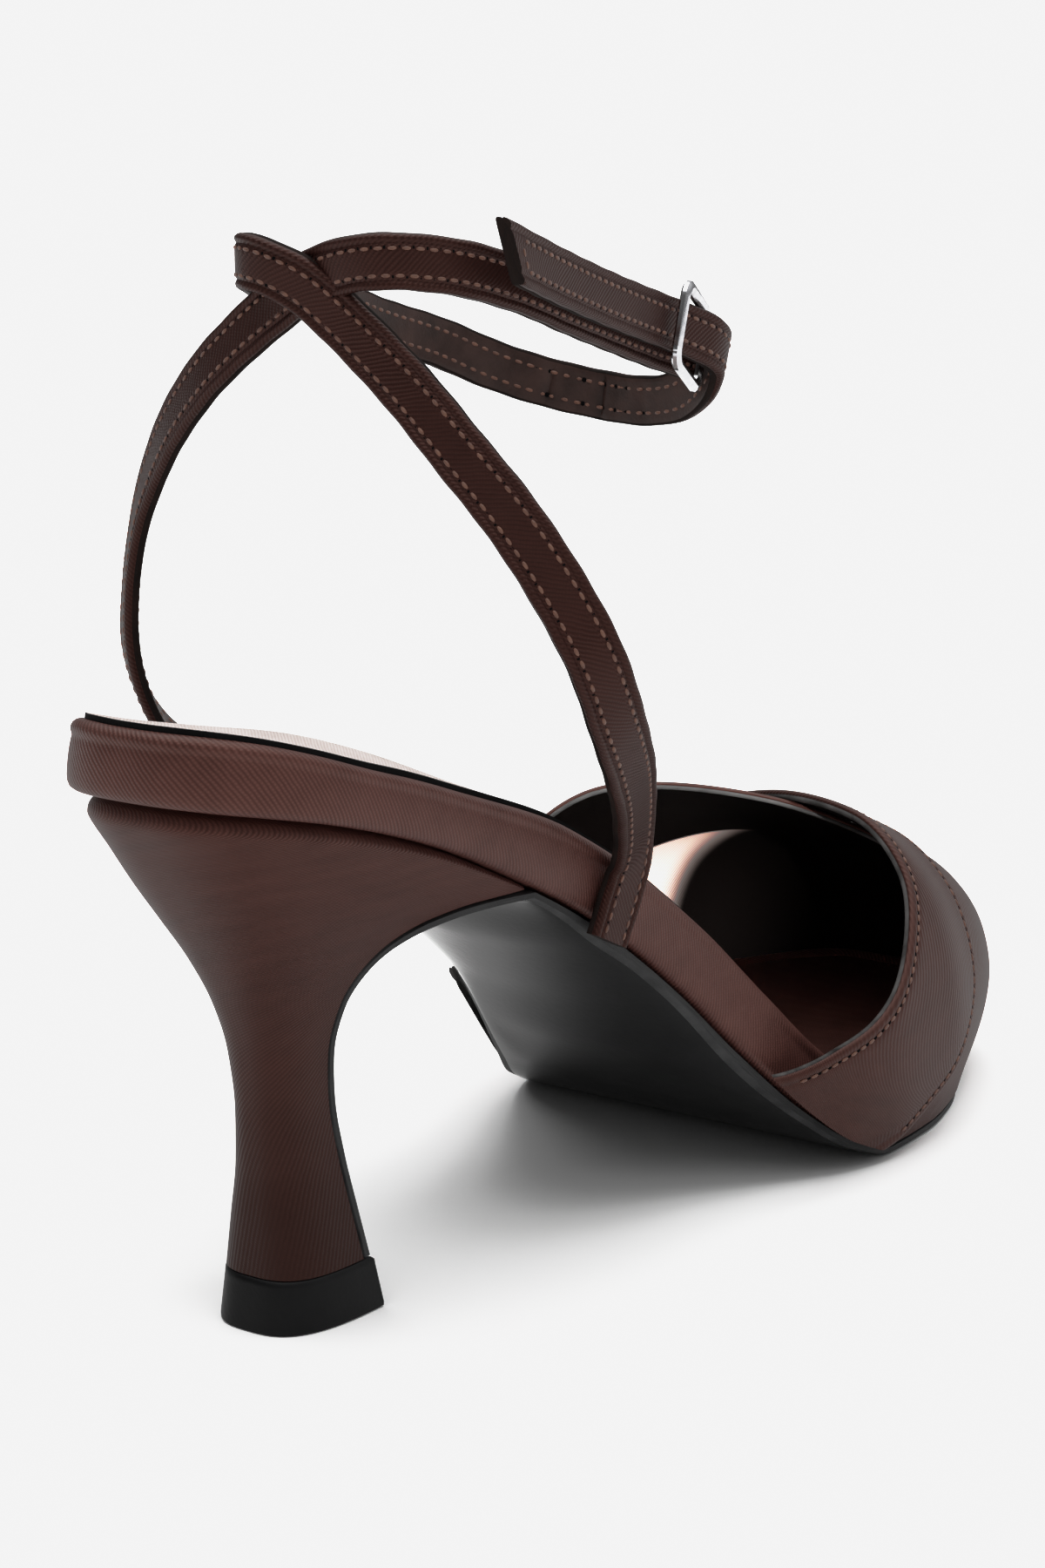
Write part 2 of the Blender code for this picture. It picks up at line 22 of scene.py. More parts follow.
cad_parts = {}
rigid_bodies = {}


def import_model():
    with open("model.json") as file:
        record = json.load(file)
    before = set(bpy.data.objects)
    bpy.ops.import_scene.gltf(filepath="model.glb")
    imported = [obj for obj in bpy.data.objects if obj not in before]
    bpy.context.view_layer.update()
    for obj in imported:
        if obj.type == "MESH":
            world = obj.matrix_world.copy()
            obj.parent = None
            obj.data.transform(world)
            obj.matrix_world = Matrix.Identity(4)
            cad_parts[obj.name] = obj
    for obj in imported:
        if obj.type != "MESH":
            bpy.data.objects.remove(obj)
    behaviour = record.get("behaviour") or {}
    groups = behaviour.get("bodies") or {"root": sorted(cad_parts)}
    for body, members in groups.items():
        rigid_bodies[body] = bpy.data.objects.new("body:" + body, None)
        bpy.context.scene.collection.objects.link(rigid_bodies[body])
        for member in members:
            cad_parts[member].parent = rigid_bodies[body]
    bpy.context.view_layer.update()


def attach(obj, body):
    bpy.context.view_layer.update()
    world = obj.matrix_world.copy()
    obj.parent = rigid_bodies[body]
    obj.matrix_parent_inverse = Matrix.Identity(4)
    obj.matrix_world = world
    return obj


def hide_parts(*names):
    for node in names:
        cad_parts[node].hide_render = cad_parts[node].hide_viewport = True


Colour = tuple[float, float, float, float]
Span = tuple[float, float]
Stretch = tuple[float, float, float]
Sections = list[list[Vector]]
Measures = list[list[tuple[float, float]]]
Socket = bpy.types.NodeSocket

LOG = logging.getLogger("shoe")
MM = 0.001
MERGE_DISTANCE = 1e-6
TINY = 1e-6
SEAT_BACK = Vector((-104.2, -0.53, 0.0))
BOARD_LENGTH = 205.4
TOE_FRONT = 206.5
GAP = 0.3
VAMP_GAP = 0.5
OUTER_BAND = "vamp_outer_band"
INNER_BAND = "vamp_inner_band"
WEAVE = "weave"
MOUTH = "mouth"


class SoleRow(NamedTuple):
    """Underside of the wrapped board and its half widths at one distance from the seat back."""

    x: float
    bottom: float
    lateral: float
    medial: float


class HeelRow(NamedTuple):
    """One D-shaped section of the heel or of its tip."""

    back_x: float
    back_z: float
    front_x: float
    front_z: float
    half_width: float
    fullness: float
    bow: float


class ForefootRow(NamedTuple):
    """Widest half widths and crown height of the upper at one distance."""

    x: float
    lateral: float
    medial: float
    crown: float


class SectionRow(NamedTuple):
    """A point on half of the forefoot section, as shares of half width and height."""

    round_last: float
    out: float
    up: float
    tuck: float


class BandRow(NamedTuple):
    """Where a vamp band's two edges cross the last."""

    round_last: float
    rear: float
    front: float


class StrapRow(NamedTuple):
    """A point on a strap's centre line, the way its outer face looks from above and its width."""

    x: float
    y: float
    z: float
    face: float
    width: float


class RimRow(NamedTuple):
    """A point on the wrapped board's edge: out from the outline and up from the underside."""

    out: float
    up: float


class BarRow(NamedTuple):
    """A point on the section of the buckle's bar: out from the frame and up from its face."""

    out: float
    up: float


class Zone(IntEnum):
    """Which cloth a face of a band or strap shows."""

    SATIN = 0
    LINING = 1
    RAW = 2


class EdgeRow(NamedTuple):
    """A point on a sewn edge, from the outer face round to the lining."""

    from_edge: float
    out: float
    zone: Zone


SOLE_ROWS = [
    SoleRow(0.0, 82.0, 5.0, 4.6),
    SoleRow(1.5, 81.8, 10.2, 9.8),
    SoleRow(4.5, 81.3, 14.8, 14.6),
    SoleRow(10.0, 80.2, 19.0, 18.9),
    SoleRow(19.0, 78.0, 22.0, 22.0),
    SoleRow(38.0, 71.6, 24.0, 23.6),
    SoleRow(57.0, 62.7, 24.6, 23.0),
    SoleRow(76.0, 52.0, 24.8, 21.4),
    SoleRow(95.0, 37.4, 26.6, 22.0),
    SoleRow(108.0, 24.4, 29.4, 24.6),
    SoleRow(120.0, 12.6, 32.2, 28.4),
    SoleRow(130.0, 5.4, 34.4, 32.4),
    SoleRow(140.0, 1.9, 35.4, 35.4),
    SoleRow(152.0, 1.9, 34.8, 37.0),
    SoleRow(166.0, 1.9, 31.6, 36.0),
    SoleRow(180.0, 1.9, 25.0, 31.0),
    SoleRow(192.0, 2.2, 17.0, 24.0),
    SoleRow(201.0, 2.6, 11.0, 17.4),
    SoleRow(204.0, 2.8, 7.4, 14.2),
    SoleRow(BOARD_LENGTH, 2.9, 4.0, 11.0),
]

HEEL_ROWS = [
    HeelRow(4.4, 81.5, 58.6, 61.9, 20.3, 2.9, 1.0),
    HeelRow(2.9, 80.5, 59.8, 61.0, 21.7, 2.9, 0.95),
    HeelRow(2.4, 78.8, 59.8, 60.5, 22.2, 2.9, 0.9),
    HeelRow(5.6, 73.4, 51.0, 60.2, 20.2, 2.7, 0.4),
    HeelRow(9.4, 67.3, 44.0, 59.0, 17.6, 2.6, 0.1),
    HeelRow(13.2, 61.4, 39.2, 56.6, 14.6, 2.5, 0.0),
    HeelRow(17.0, 55.4, 35.9, 52.6, 11.4, 2.45, 0.0),
    HeelRow(20.6, 48.2, 33.8, 47.0, 8.6, 2.45, 0.0),
    HeelRow(22.9, 40.6, 32.9, 40.0, 7.0, 2.5, 0.0),
    HeelRow(23.8, 32.0, 33.4, 32.0, 6.5, 2.55, 0.0),
    HeelRow(23.8, 24.0, 34.5, 24.0, 7.0, 2.6, 0.0),
    HeelRow(23.2, 16.0, 35.8, 16.0, 8.0, 2.8, 0.0),
    HeelRow(22.7, 8.1, 37.1, 8.1, 9.1, 3.0, 0.0),
]

LIFT_ROWS = [
    HeelRow(21.8, 0.0, 39.8, 0.0, 9.8, 3.0, 0.0),
    HeelRow(21.4, 0.3, 40.1, 0.3, 10.15, 3.0, 0.0),
    HeelRow(21.4, 0.8, 40.1, 0.8, 10.2, 3.0, 0.0),
    HeelRow(22.3, 6.9, 39.2, 6.9, 9.45, 3.0, 0.0),
    HeelRow(22.4, 7.6, 39.1, 7.6, 9.4, 3.0, 0.0),
    HeelRow(22.7, 7.9, 38.8, 7.9, 9.1, 3.0, 0.0),
]

FOREFOOT_ROWS = [
    ForefootRow(100.0, 33.0, 28.0, 64.0),
    ForefootRow(120.0, 38.5, 33.5, 63.0),
    ForefootRow(135.0, 41.0, 39.0, 60.6),
    ForefootRow(150.0, 40.5, 42.0, 55.2),
    ForefootRow(165.0, 36.6, 41.0, 48.2),
    ForefootRow(180.0, 32.2, 36.0, 42.2),
    ForefootRow(190.0, 27.6, 30.6, 37.4),
    ForefootRow(198.0, 21.4, 24.4, 29.6),
    ForefootRow(203.0, 13.0, 18.4, 21.4),
    ForefootRow(205.4, 8.8, 15.4, 16.0),
    ForefootRow(206.1, 6.6, 13.6, 12.6),
    ForefootRow(TOE_FRONT, 5.0, 12.0, 4.6),
]

SECTION_ROWS = [
    SectionRow(0.0, 1.0, 0.0, 1.0),
    SectionRow(0.1, 1.0, 0.2, 0.46),
    SectionRow(0.2, 0.96, 0.45, 0.1),
    SectionRow(0.3, 0.82, 0.73, 0.0),
    SectionRow(0.4, 0.5, 0.93, 0.0),
    SectionRow(0.5, 0.0, 1.0, 0.0),
]

OUTER_BAND_ROWS = [
    BandRow(0.0, 111.5, 136.0),
    BandRow(0.1, 119.5, 155.0),
    BandRow(0.2, 133.5, 166.0),
    BandRow(0.3, 146.0, 169.0),
    BandRow(0.4, 153.5, 171.0),
    BandRow(0.5, 162.5, 176.0),
    BandRow(0.6, 168.0, 181.0),
    BandRow(0.75, 169.0, 186.0),
    BandRow(0.9, 162.0, 186.0),
    BandRow(1.0, 152.0, 182.0),
]

INNER_BAND_ROWS = [
    BandRow(0.0, 101.0, TOE_FRONT),
    BandRow(0.1, 118.0, TOE_FRONT),
    BandRow(0.2, 126.5, TOE_FRONT),
    BandRow(0.3, 133.5, TOE_FRONT),
    BandRow(0.4, 146.0, TOE_FRONT),
    BandRow(0.5, 160.0, TOE_FRONT),
    BandRow(0.6, 166.0, TOE_FRONT),
    BandRow(0.75, 160.0, TOE_FRONT),
    BandRow(0.9, 143.0, TOE_FRONT),
    BandRow(1.0, 122.0, TOE_FRONT),
]

LATERAL_STRAP_ROWS = [
    StrapRow(74.5, -26.3, 50.0, -90, 8.8),
    StrapRow(78.6, -26.9, 58.6, -92, 8.8),
    StrapRow(77.6, -29.0, 64.4, -96, 8.8),
    StrapRow(71.6, -33.6, 71.6, -104, 8.7),
    StrapRow(63.4, -38.8, 79.0, -112, 8.6),
    StrapRow(54.8, -42.6, 88.0, -120, 8.5),
    StrapRow(48.8, -43.0, 98.6, -127, 8.4),
    StrapRow(46.0, -38.4, 108.8, -134, 8.3),
    StrapRow(44.0, -32.4, 117.8, -141, 8.2),
    StrapRow(42.2, -25.4, 126.0, -149, 8.1),
    StrapRow(41.4, -17.4, 134.2, -158, 8.0),
    StrapRow(39.4, -9.0, 142.4, -168, 7.9),
    StrapRow(37.0, -3.2, 147.8, -177, 7.9),
    StrapRow(35.2, 1.6, 150.4, -190, 7.8),
    StrapRow(35.6, 6.0, 151.2, -216, 7.8),
    StrapRow(39.8, 10.0, 150.6, -243, 7.7),
    StrapRow(50.0, 14.0, 147.6, -256, 7.7),
    StrapRow(66.0, 18.2, 143.4, -262, 7.7),
    StrapRow(81.0, 20.8, 138.8, -268, 7.7),
    StrapRow(95.4, 20.2, 134.6, -282, 7.7),
    StrapRow(104.4, 16.8, 130.6, -305, 7.7),
    StrapRow(109.6, 10.6, 127.8, -322, 7.7),
    StrapRow(113.4, 2.6, 125.8, -338, 7.7),
    StrapRow(113.2, -6.4, 125.2, -352, 7.7),
    StrapRow(112.0, -14.2, 126.4, -368, 7.7),
    StrapRow(110.0, -20.4, 129.8, -400, 7.7),
    StrapRow(108.2, -24.3, 133.3, -430, 7.7),
    StrapRow(104.6, -25.4, 135.6, -450, 7.7),
    StrapRow(100.0, -24.9, 137.5, -455, 7.7),
    StrapRow(93.5, -24.4, 139.6, -452, 7.7),
    StrapRow(77.0, -26.4, 144.0, -443, 7.7),
    StrapRow(61.5, -28.8, 148.4, -441, 7.7),
    StrapRow(46.0, -31.8, 153.0, -439, 7.7),
]

MEDIAL_STRAP_ROWS = [
    StrapRow(75.4, 23.0, 52.0, 90, 8.8),
    StrapRow(78.6, 23.6, 58.6, 92, 8.8),
    StrapRow(77.4, 27.0, 63.4, 100, 8.8),
    StrapRow(71.8, 32.6, 67.0, 114, 8.7),
    StrapRow(64.6, 38.0, 69.6, 128, 8.6),
    StrapRow(57.2, 41.8, 74.8, 138, 8.5),
    StrapRow(52.0, 43.4, 82.0, 142, 8.4),
    StrapRow(48.9, 43.6, 91.0, 140, 8.4),
    StrapRow(48.4, 42.7, 100.6, 136, 8.3),
    StrapRow(47.6, 39.8, 110.4, 135, 8.2),
    StrapRow(46.0, 35.4, 118.0, 137, 8.1),
    StrapRow(43.0, 28.0, 126.4, 142, 8.0),
    StrapRow(40.8, 19.6, 134.0, 149, 7.9),
    StrapRow(40.2, 12.4, 139.6, 157, 7.8),
    StrapRow(40.2, 5.6, 144.4, 168, 7.8),
    StrapRow(39.8, 0.6, 147.4, 180, 7.7),
    StrapRow(38.8, -4.0, 149.4, 192, 7.7),
    StrapRow(38.0, -10.0, 151.0, 208, 7.7),
    StrapRow(39.0, -15.4, 151.6, 232, 7.7),
    StrapRow(42.6, -19.2, 151.3, 250, 7.7),
    StrapRow(49.4, -22.2, 150.0, 260, 7.7),
    StrapRow(60.4, -23.4, 147.0, 265, 7.7),
    StrapRow(71.5, -23.0, 143.4, 269, 7.7),
    StrapRow(82.5, -21.8, 140.2, 274, 7.7),
    StrapRow(95.0, -20.7, 136.6, 274, 7.7),
    StrapRow(104.0, -20.3, 134.2, 271, 7.7),
    StrapRow(108.6, -20.2, 133.0, 270, 7.7),
]

RIM_ROWS = [
    RimRow(-4.8, 9.5),
    RimRow(-3.2, 9.8),
    RimRow(-2.0, 10.1),
    RimRow(-1.2, 10.15),
    RimRow(-0.55, 9.95),
    RimRow(-0.05, 9.5),
    RimRow(0.18, 8.95),
    RimRow(0.16, 8.4),
    RimRow(0.0, 8.0),
    RimRow(-0.08, 7.65),
    RimRow(0.0, 7.2),
    RimRow(0.1, 6.4),
    RimRow(0.18, 5.0),
    RimRow(0.2, 3.4),
    RimRow(0.15, 2.2),
    RimRow(0.0, 1.3),
    RimRow(-0.35, 0.6),
    RimRow(-1.0, 0.2),
    RimRow(-1.9, 0.05),
    RimRow(-4.8, 0.1),
]

EDGE_ROWS = [
    EdgeRow(2.6, 1.10, Zone.SATIN),
    EdgeRow(1.95, 1.08, Zone.SATIN),
    EdgeRow(1.6, 0.97, Zone.SATIN),
    EdgeRow(1.35, 0.82, Zone.SATIN),
    EdgeRow(1.1, 0.97, Zone.SATIN),
    EdgeRow(0.75, 1.12, Zone.SATIN),
    EdgeRow(0.35, 1.0, Zone.SATIN),
    EdgeRow(0.08, 0.62, Zone.SATIN),
    EdgeRow(0.0, 0.25, Zone.SATIN),
    EdgeRow(0.12, -0.05, Zone.RAW),
    EdgeRow(0.02, -0.2, Zone.RAW),
    EdgeRow(-0.02, -0.6, Zone.RAW),
    EdgeRow(0.08, -0.95, Zone.RAW),
    EdgeRow(0.4, -1.08, Zone.LINING),
    EdgeRow(1.2, -1.1, Zone.LINING),
    EdgeRow(2.6, -1.1, Zone.LINING),
]
EDGE_HALF = 1.1

BAR_ROWS = [
    BarRow(0.95, 0.25),
    BarRow(0.5225, 0.6),
    BarRow(0.0, 0.75),
    BarRow(-0.5225, 0.6),
    BarRow(-0.95, 0.25),
    BarRow(-0.95, -0.35),
    BarRow(-0.57, -0.675),
    BarRow(0.57, -0.675),
    BarRow(0.95, -0.35),
]


class SmoothCurve:
    """A cubic curve through values at rising places."""

    def __init__(self, places: list[float], values: list[float], flowing: bool = False) -> None:
        """Work out the slope at each place.

        Args:
            places: rising places.
            values: the value at each place.
            flowing: take the mean slope at each place, instead of one that never overshoots.
        """
        self.places = places
        self.values = values
        self.steps = [b - a for a, b in zip(places, places[1:])]
        rises = [(b - a) / step for a, b, step in zip(values, values[1:], self.steps)]
        self.slopes = [rises[0]]
        for before, after in zip(rises, rises[1:]):
            if flowing:
                self.slopes.append((before + after) / 2)
            else:
                same_way = before * after > 0
                self.slopes.append(2 * before * after / (before + after) if same_way else 0.0)
        self.slopes.append(rises[-1])

    def __call__(self, place: float) -> float:
        """Return the value at a place, held at the ends.

        Args:
            place: where on the curve.

        Returns:
            The value.
        """
        place = min(max(place, self.places[0]), self.places[-1])
        index = min(max(bisect.bisect_right(self.places, place) - 1, 0), len(self.steps) - 1)
        step = self.steps[index]
        t = (place - self.places[index]) / step
        back = 1 - t
        start = self.values[index] * (1 + 2 * t) * back * back
        start += self.slopes[index] * step * t * back * back
        end = self.values[index + 1] * t * t * (3 - 2 * t)
        end -= self.slopes[index + 1] * step * t * t * back
        return start + end


def column_curves(rows: list, along: str | None = None, flowing: bool = False) -> dict[str, SmoothCurve]:
    """Return a curve for each column of a table.

    Args:
        rows: the table's rows.
        along: the column that the curves run over, or None for the row number.
        flowing: passed on to the curves.

    Returns:
        Column name to curve.
    """
    places = [getattr(row, along) for row in rows] if along else [float(i) for i in range(len(rows))]
    names = [name for name in rows[0]._fields if name != along]
    return {name: SmoothCurve(places, [getattr(row, name) for row in rows], flowing) for name in names}


def to_frame(point: Vector) -> Vector:
    """Return a table point in the frame, in metres."""
    return (point + SEAT_BACK) * MM


def ramp(place: float, start: float, reach: float) -> float:
    """Return the share of a stretch that is passed at a place, from 0 to 1."""
    return min(max((place - start) / reach, 0.0), 1.0)


def eased(share: float) -> float:
    """Return a share from 0 to 1 with a soft start and end."""
    return share * share * (3 - 2 * share)


def window(place: float, start: float, end: float, fade: float) -> float:
    """Return 1 inside a stretch and 0 outside it, with soft ends."""
    return eased(min(ramp(place, start, fade), ramp(-place, -end, fade)))


def end_slowed(share: float, amount: float) -> float:
    """Return a share of a length that moves more slowly near both ends."""
    return share - amount * math.sin(2 * math.pi * share) / (2 * math.pi)


def running_length(points: list[Vector]) -> list[float]:
    """Measure a line.

    Args:
        points: the line's points.

    Returns:
        The distance along it at each point.
    """
    reach = [0.0]
    for before, after in zip(points, points[1:]):
        reach.append(reach[-1] + (after - before).length)
    return reach


def share_along(reach: list[float], place: float) -> tuple[int, float]:
    """Find a distance on a line.

    Args:
        reach: the distance at each point of the line.
        place: the distance to find.

    Returns:
        The number of the step that holds it, and the share of that step.
    """
    index = min(max(bisect.bisect_right(reach, place) - 1, 0), len(reach) - 2)
    return index, (place - reach[index]) / max(reach[index + 1] - reach[index], TINY)


def swept_mesh(
    name: str,
    sections: Sections,
    measures: Measures,
    zones: list[int] | None = None,
    cap_zone: int = 0,
    crease: float = 50.0,
    marks: Sections | None = None,
) -> bpy.types.Mesh:
    """Return a mesh through sections, from a grid whose seams are merged and whose open ends are filled.

    Args:
        name: the mesh's name.
        sections: table points, section by section.
        measures: the cloth's own coordinates of the same points, in millimetres.
        zones: material index of each column of faces, or None for the first material.
        cap_zone: material index of the faces that close open ends.
        crease: angle in degrees past which an edge stays sharp.
        marks: a value for each point, which its finish reads as the mouth attribute.

    Returns:
        The new mesh, in the frame.
    """
    rows, columns = len(sections) - 1, len(sections[0]) - 1
    work = bmesh.new()
    bmesh.ops.create_grid(work, x_segments=rows, y_segments=columns, size=0.5)
    cloth = work.loops.layers.uv.new(WEAVE)
    mouth = work.verts.layers.float_vector.new(MOUTH) if marks else None
    address = {}
    for vert in work.verts:
        address[vert] = (round((vert.co.x + 0.5) * rows), round((vert.co.y + 0.5) * columns))
    for face in work.faces:
        if zones:
            face.material_index = zones[min(address[vert][1] for vert in face.verts)]
        for loop in face.loops:
            row, column = address[loop.vert]
            loop[cloth].uv = measures[row][column]
    for vert, (row, column) in address.items():
        vert.co = to_frame(sections[row][column])
        if mouth:
            vert[mouth] = marks[row][column]
    bmesh.ops.remove_doubles(work, verts=work.verts, dist=MERGE_DISTANCE)
    open_edges = [edge for edge in work.edges if edge.is_boundary]
    if open_edges:
        filled = bmesh.ops.holes_fill(work, edges=open_edges, sides=0)
        for face in filled["faces"]:
            face.material_index = cap_zone
    bmesh.ops.recalc_face_normals(work, faces=work.faces)
    for face in work.faces:
        face.smooth = True
    mesh = bpy.data.meshes.new(name)
    work.to_mesh(mesh)
    work.free()
    mesh.set_sharp_from_angle(angle=math.radians(crease))
    return mesh


@dataclass
class Stitching:
    """Rows of stitches with the needle holes between them, gathered into one mesh."""

    pitch: float = 1.95
    length: float = 1.3
    thick: float = 0.62
    thread_flatness: float = 0.8
    hole: float = 0.85
    hole_flatness: float = 0.5
    hole_depth: float = 0.14
    threads: list[Matrix] = field(default_factory=list)
    holes: list[Matrix] = field(default_factory=list)

    def sew(self, points: list[Vector], normals: list[Vector]) -> None:
        """Set stitches and holes along a line on a cloth.

        Args:
            points: table points of the line.
            normals: the cloth's normal at each point.
        """
        reach = running_length(points)
        thread = (self.thick, self.thick * self.thread_flatness, self.length)
        hole = (self.hole, self.hole * self.hole_flatness, self.hole)
        for number in range(1, int(2 * reach[-1] / self.pitch)):
            index, share = share_along(reach, number * self.pitch / 2)
            point = points[index].lerp(points[index + 1], share)
            normal = normals[index].lerp(normals[index + 1], share).normalized()
            run = (points[index + 1] - points[index]).normalized()
            side = normal.cross(run).normalized()
            normal = run.cross(side).normalized()
            turn = Matrix((side, normal, run)).transposed().to_4x4()
            if number % 2:
                self.threads.append(self.spot(point, turn, thread))
            else:
                self.holes.append(self.spot(point - normal * self.hole_depth, turn, hole))

    @staticmethod
    def spot(point: Vector, turn: Matrix, size: tuple[float, float, float]) -> Matrix:
        """Return the matrix that sets a bead of a size at a table point."""
        scale = Matrix.Diagonal((size[0] * MM, size[1] * MM, size[2] * MM, 1.0))
        return Matrix.Translation(to_frame(point)) @ turn @ scale

    def mesh(self, name: str) -> bpy.types.Mesh:
        """Return every stitch and hole as one mesh.

        Args:
            name: the mesh's name.

        Returns:
            The mesh: threads in the first material, holes in the second.
        """
        work = bmesh.new()
        for index, spots in enumerate((self.threads, self.holes)):
            seed = bmesh.new()
            bmesh.ops.create_uvsphere(seed, u_segments=6, v_segments=5, radius=0.5)
            for face in seed.faces:
                face.smooth = True
                face.material_index = index
            bead = bpy.data.meshes.new("bead")
            seed.to_mesh(bead)
            seed.free()
            for spot in spots:
                copy = bead.copy()
                copy.transform(spot)
                work.from_mesh(copy)
                bpy.data.meshes.remove(copy)
            bpy.data.meshes.remove(bead)
        mesh = bpy.data.meshes.new(name)
        work.to_mesh(mesh)
        work.free()
        return mesh


class NodeSketch:
    """Adds nodes to a tree and feeds their sockets."""

    def __init__(self, tree: bpy.types.NodeTree) -> None:
        """Keep the tree that nodes are added to."""
        self.tree = tree

    def feed(self, node: bpy.types.Node, feeds: dict) -> None:
        """Set or link a node's sockets.

        Args:
            node: the node.
            feeds: socket name or number to a value or to another node's output.
        """
        for socket, value in feeds.items():
            target = node.inputs[socket]
            if isinstance(value, bpy.types.NodeSocket):
                self.tree.links.new(value, target)
            else:
                target.default_value = value

    def add(self, kind: str, feeds: dict | None = None, **settings: object) -> bpy.types.Node:
        """Add a node.

        Args:
            kind: the node's type name.
            feeds: socket name or number to a value or to another node's output.
            settings: attributes of the node.

        Returns:
            The new node.
        """
        node = self.tree.nodes.new(kind)
        for name, value in settings.items():
            setattr(node, name, value)
        self.feed(node, feeds or {})
        return node

    def math(self, operation: str, first: object, second: object = 0.0, third: object = None) -> Socket:
        """Add a Math node.

        Args:
            operation: the node's operation.
            first: its first value or link.
            second: its second.
            third: its third, where the operation has one.

        Returns:
            The node's output.
        """
        feeds = {0: first, 1: second}
        if third is not None:
            feeds[2] = third
        return self.add("ShaderNodeMath", feeds, operation=operation).outputs[0]

    def blend(self, share: object, first: object, second: object) -> Socket:
        """Add a colour Mix node and return its output."""
        return self.add("ShaderNodeMix", {0: share, 6: first, 7: second}, data_type="RGBA").outputs[2]

    def remap(
        self, value: object, source: Span = (0.0, 1.0), into: Span = (0.0, 1.0), kind: str = "LINEAR"
    ) -> Socket:
        """Add a Map Range node.

        Args:
            value: the value or link that is mapped.
            source: the ends of the range that it comes from.
            into: what those ends become.
            kind: how it goes from one to the other.

        Returns:
            The node's output.
        """
        feeds = {0: value, 1: source[0], 2: source[1], 3: into[0], 4: into[1]}
        return self.add("ShaderNodeMapRange", feeds, interpolation_type=kind).outputs[0]

    def noise(self, place: Socket, scale: object, detail: float) -> Socket:
        """Add a Noise texture and return its value."""
        feeds = {"Vector": place, "Scale": scale, "Detail": detail}
        return self.add("ShaderNodeTexNoise", feeds).outputs[0]

    def bump(self, height: Socket, strength: float, relief: float) -> Socket:
        """Add a Bump node and return its normal."""
        feeds = {"Height": height, "Strength": strength, "Distance": relief}
        return self.add("ShaderNodeBump", feeds).outputs[0]

    def split(self, place: Socket) -> tuple[Socket, Socket]:
        """Return the first two coordinates of a place."""
        node = self.add("ShaderNodeSeparateXYZ", {0: place})
        return node.outputs[0], node.outputs[1]

    def cloth(self) -> Socket:
        """Return the piece's own cloth coordinates, in millimetres."""
        return self.add("ShaderNodeUVMap", uv_map=WEAVE).outputs[0]

    def place(self) -> Socket:
        """Return the piece's Object coordinates."""
        return self.add("ShaderNodeTexCoord").outputs["Object"]


def shared_group(
    name: str, values: list[str], outputs: list[str]
) -> tuple[bpy.types.NodeTree, NodeSketch, bpy.types.Node]:
    """Start a shader node group over a vector.

    Args:
        name: the group's name.
        values: names of its value inputs, after the vector.
        outputs: names of its value outputs.

    Returns:
        The group, a sketch of its tree and its input node.
    """
    group = bpy.data.node_groups.new(name, "ShaderNodeTree")
    group.interface.new_socket(name="Vector", in_out="INPUT", socket_type="NodeSocketVector")
    for label in values:
        group.interface.new_socket(name=label, in_out="INPUT", socket_type="NodeSocketFloat")
    for label in outputs:
        group.interface.new_socket(name=label, in_out="OUTPUT", socket_type="NodeSocketFloat")
    sketch = NodeSketch(group)
    return group, sketch, sketch.add("NodeGroupInput")


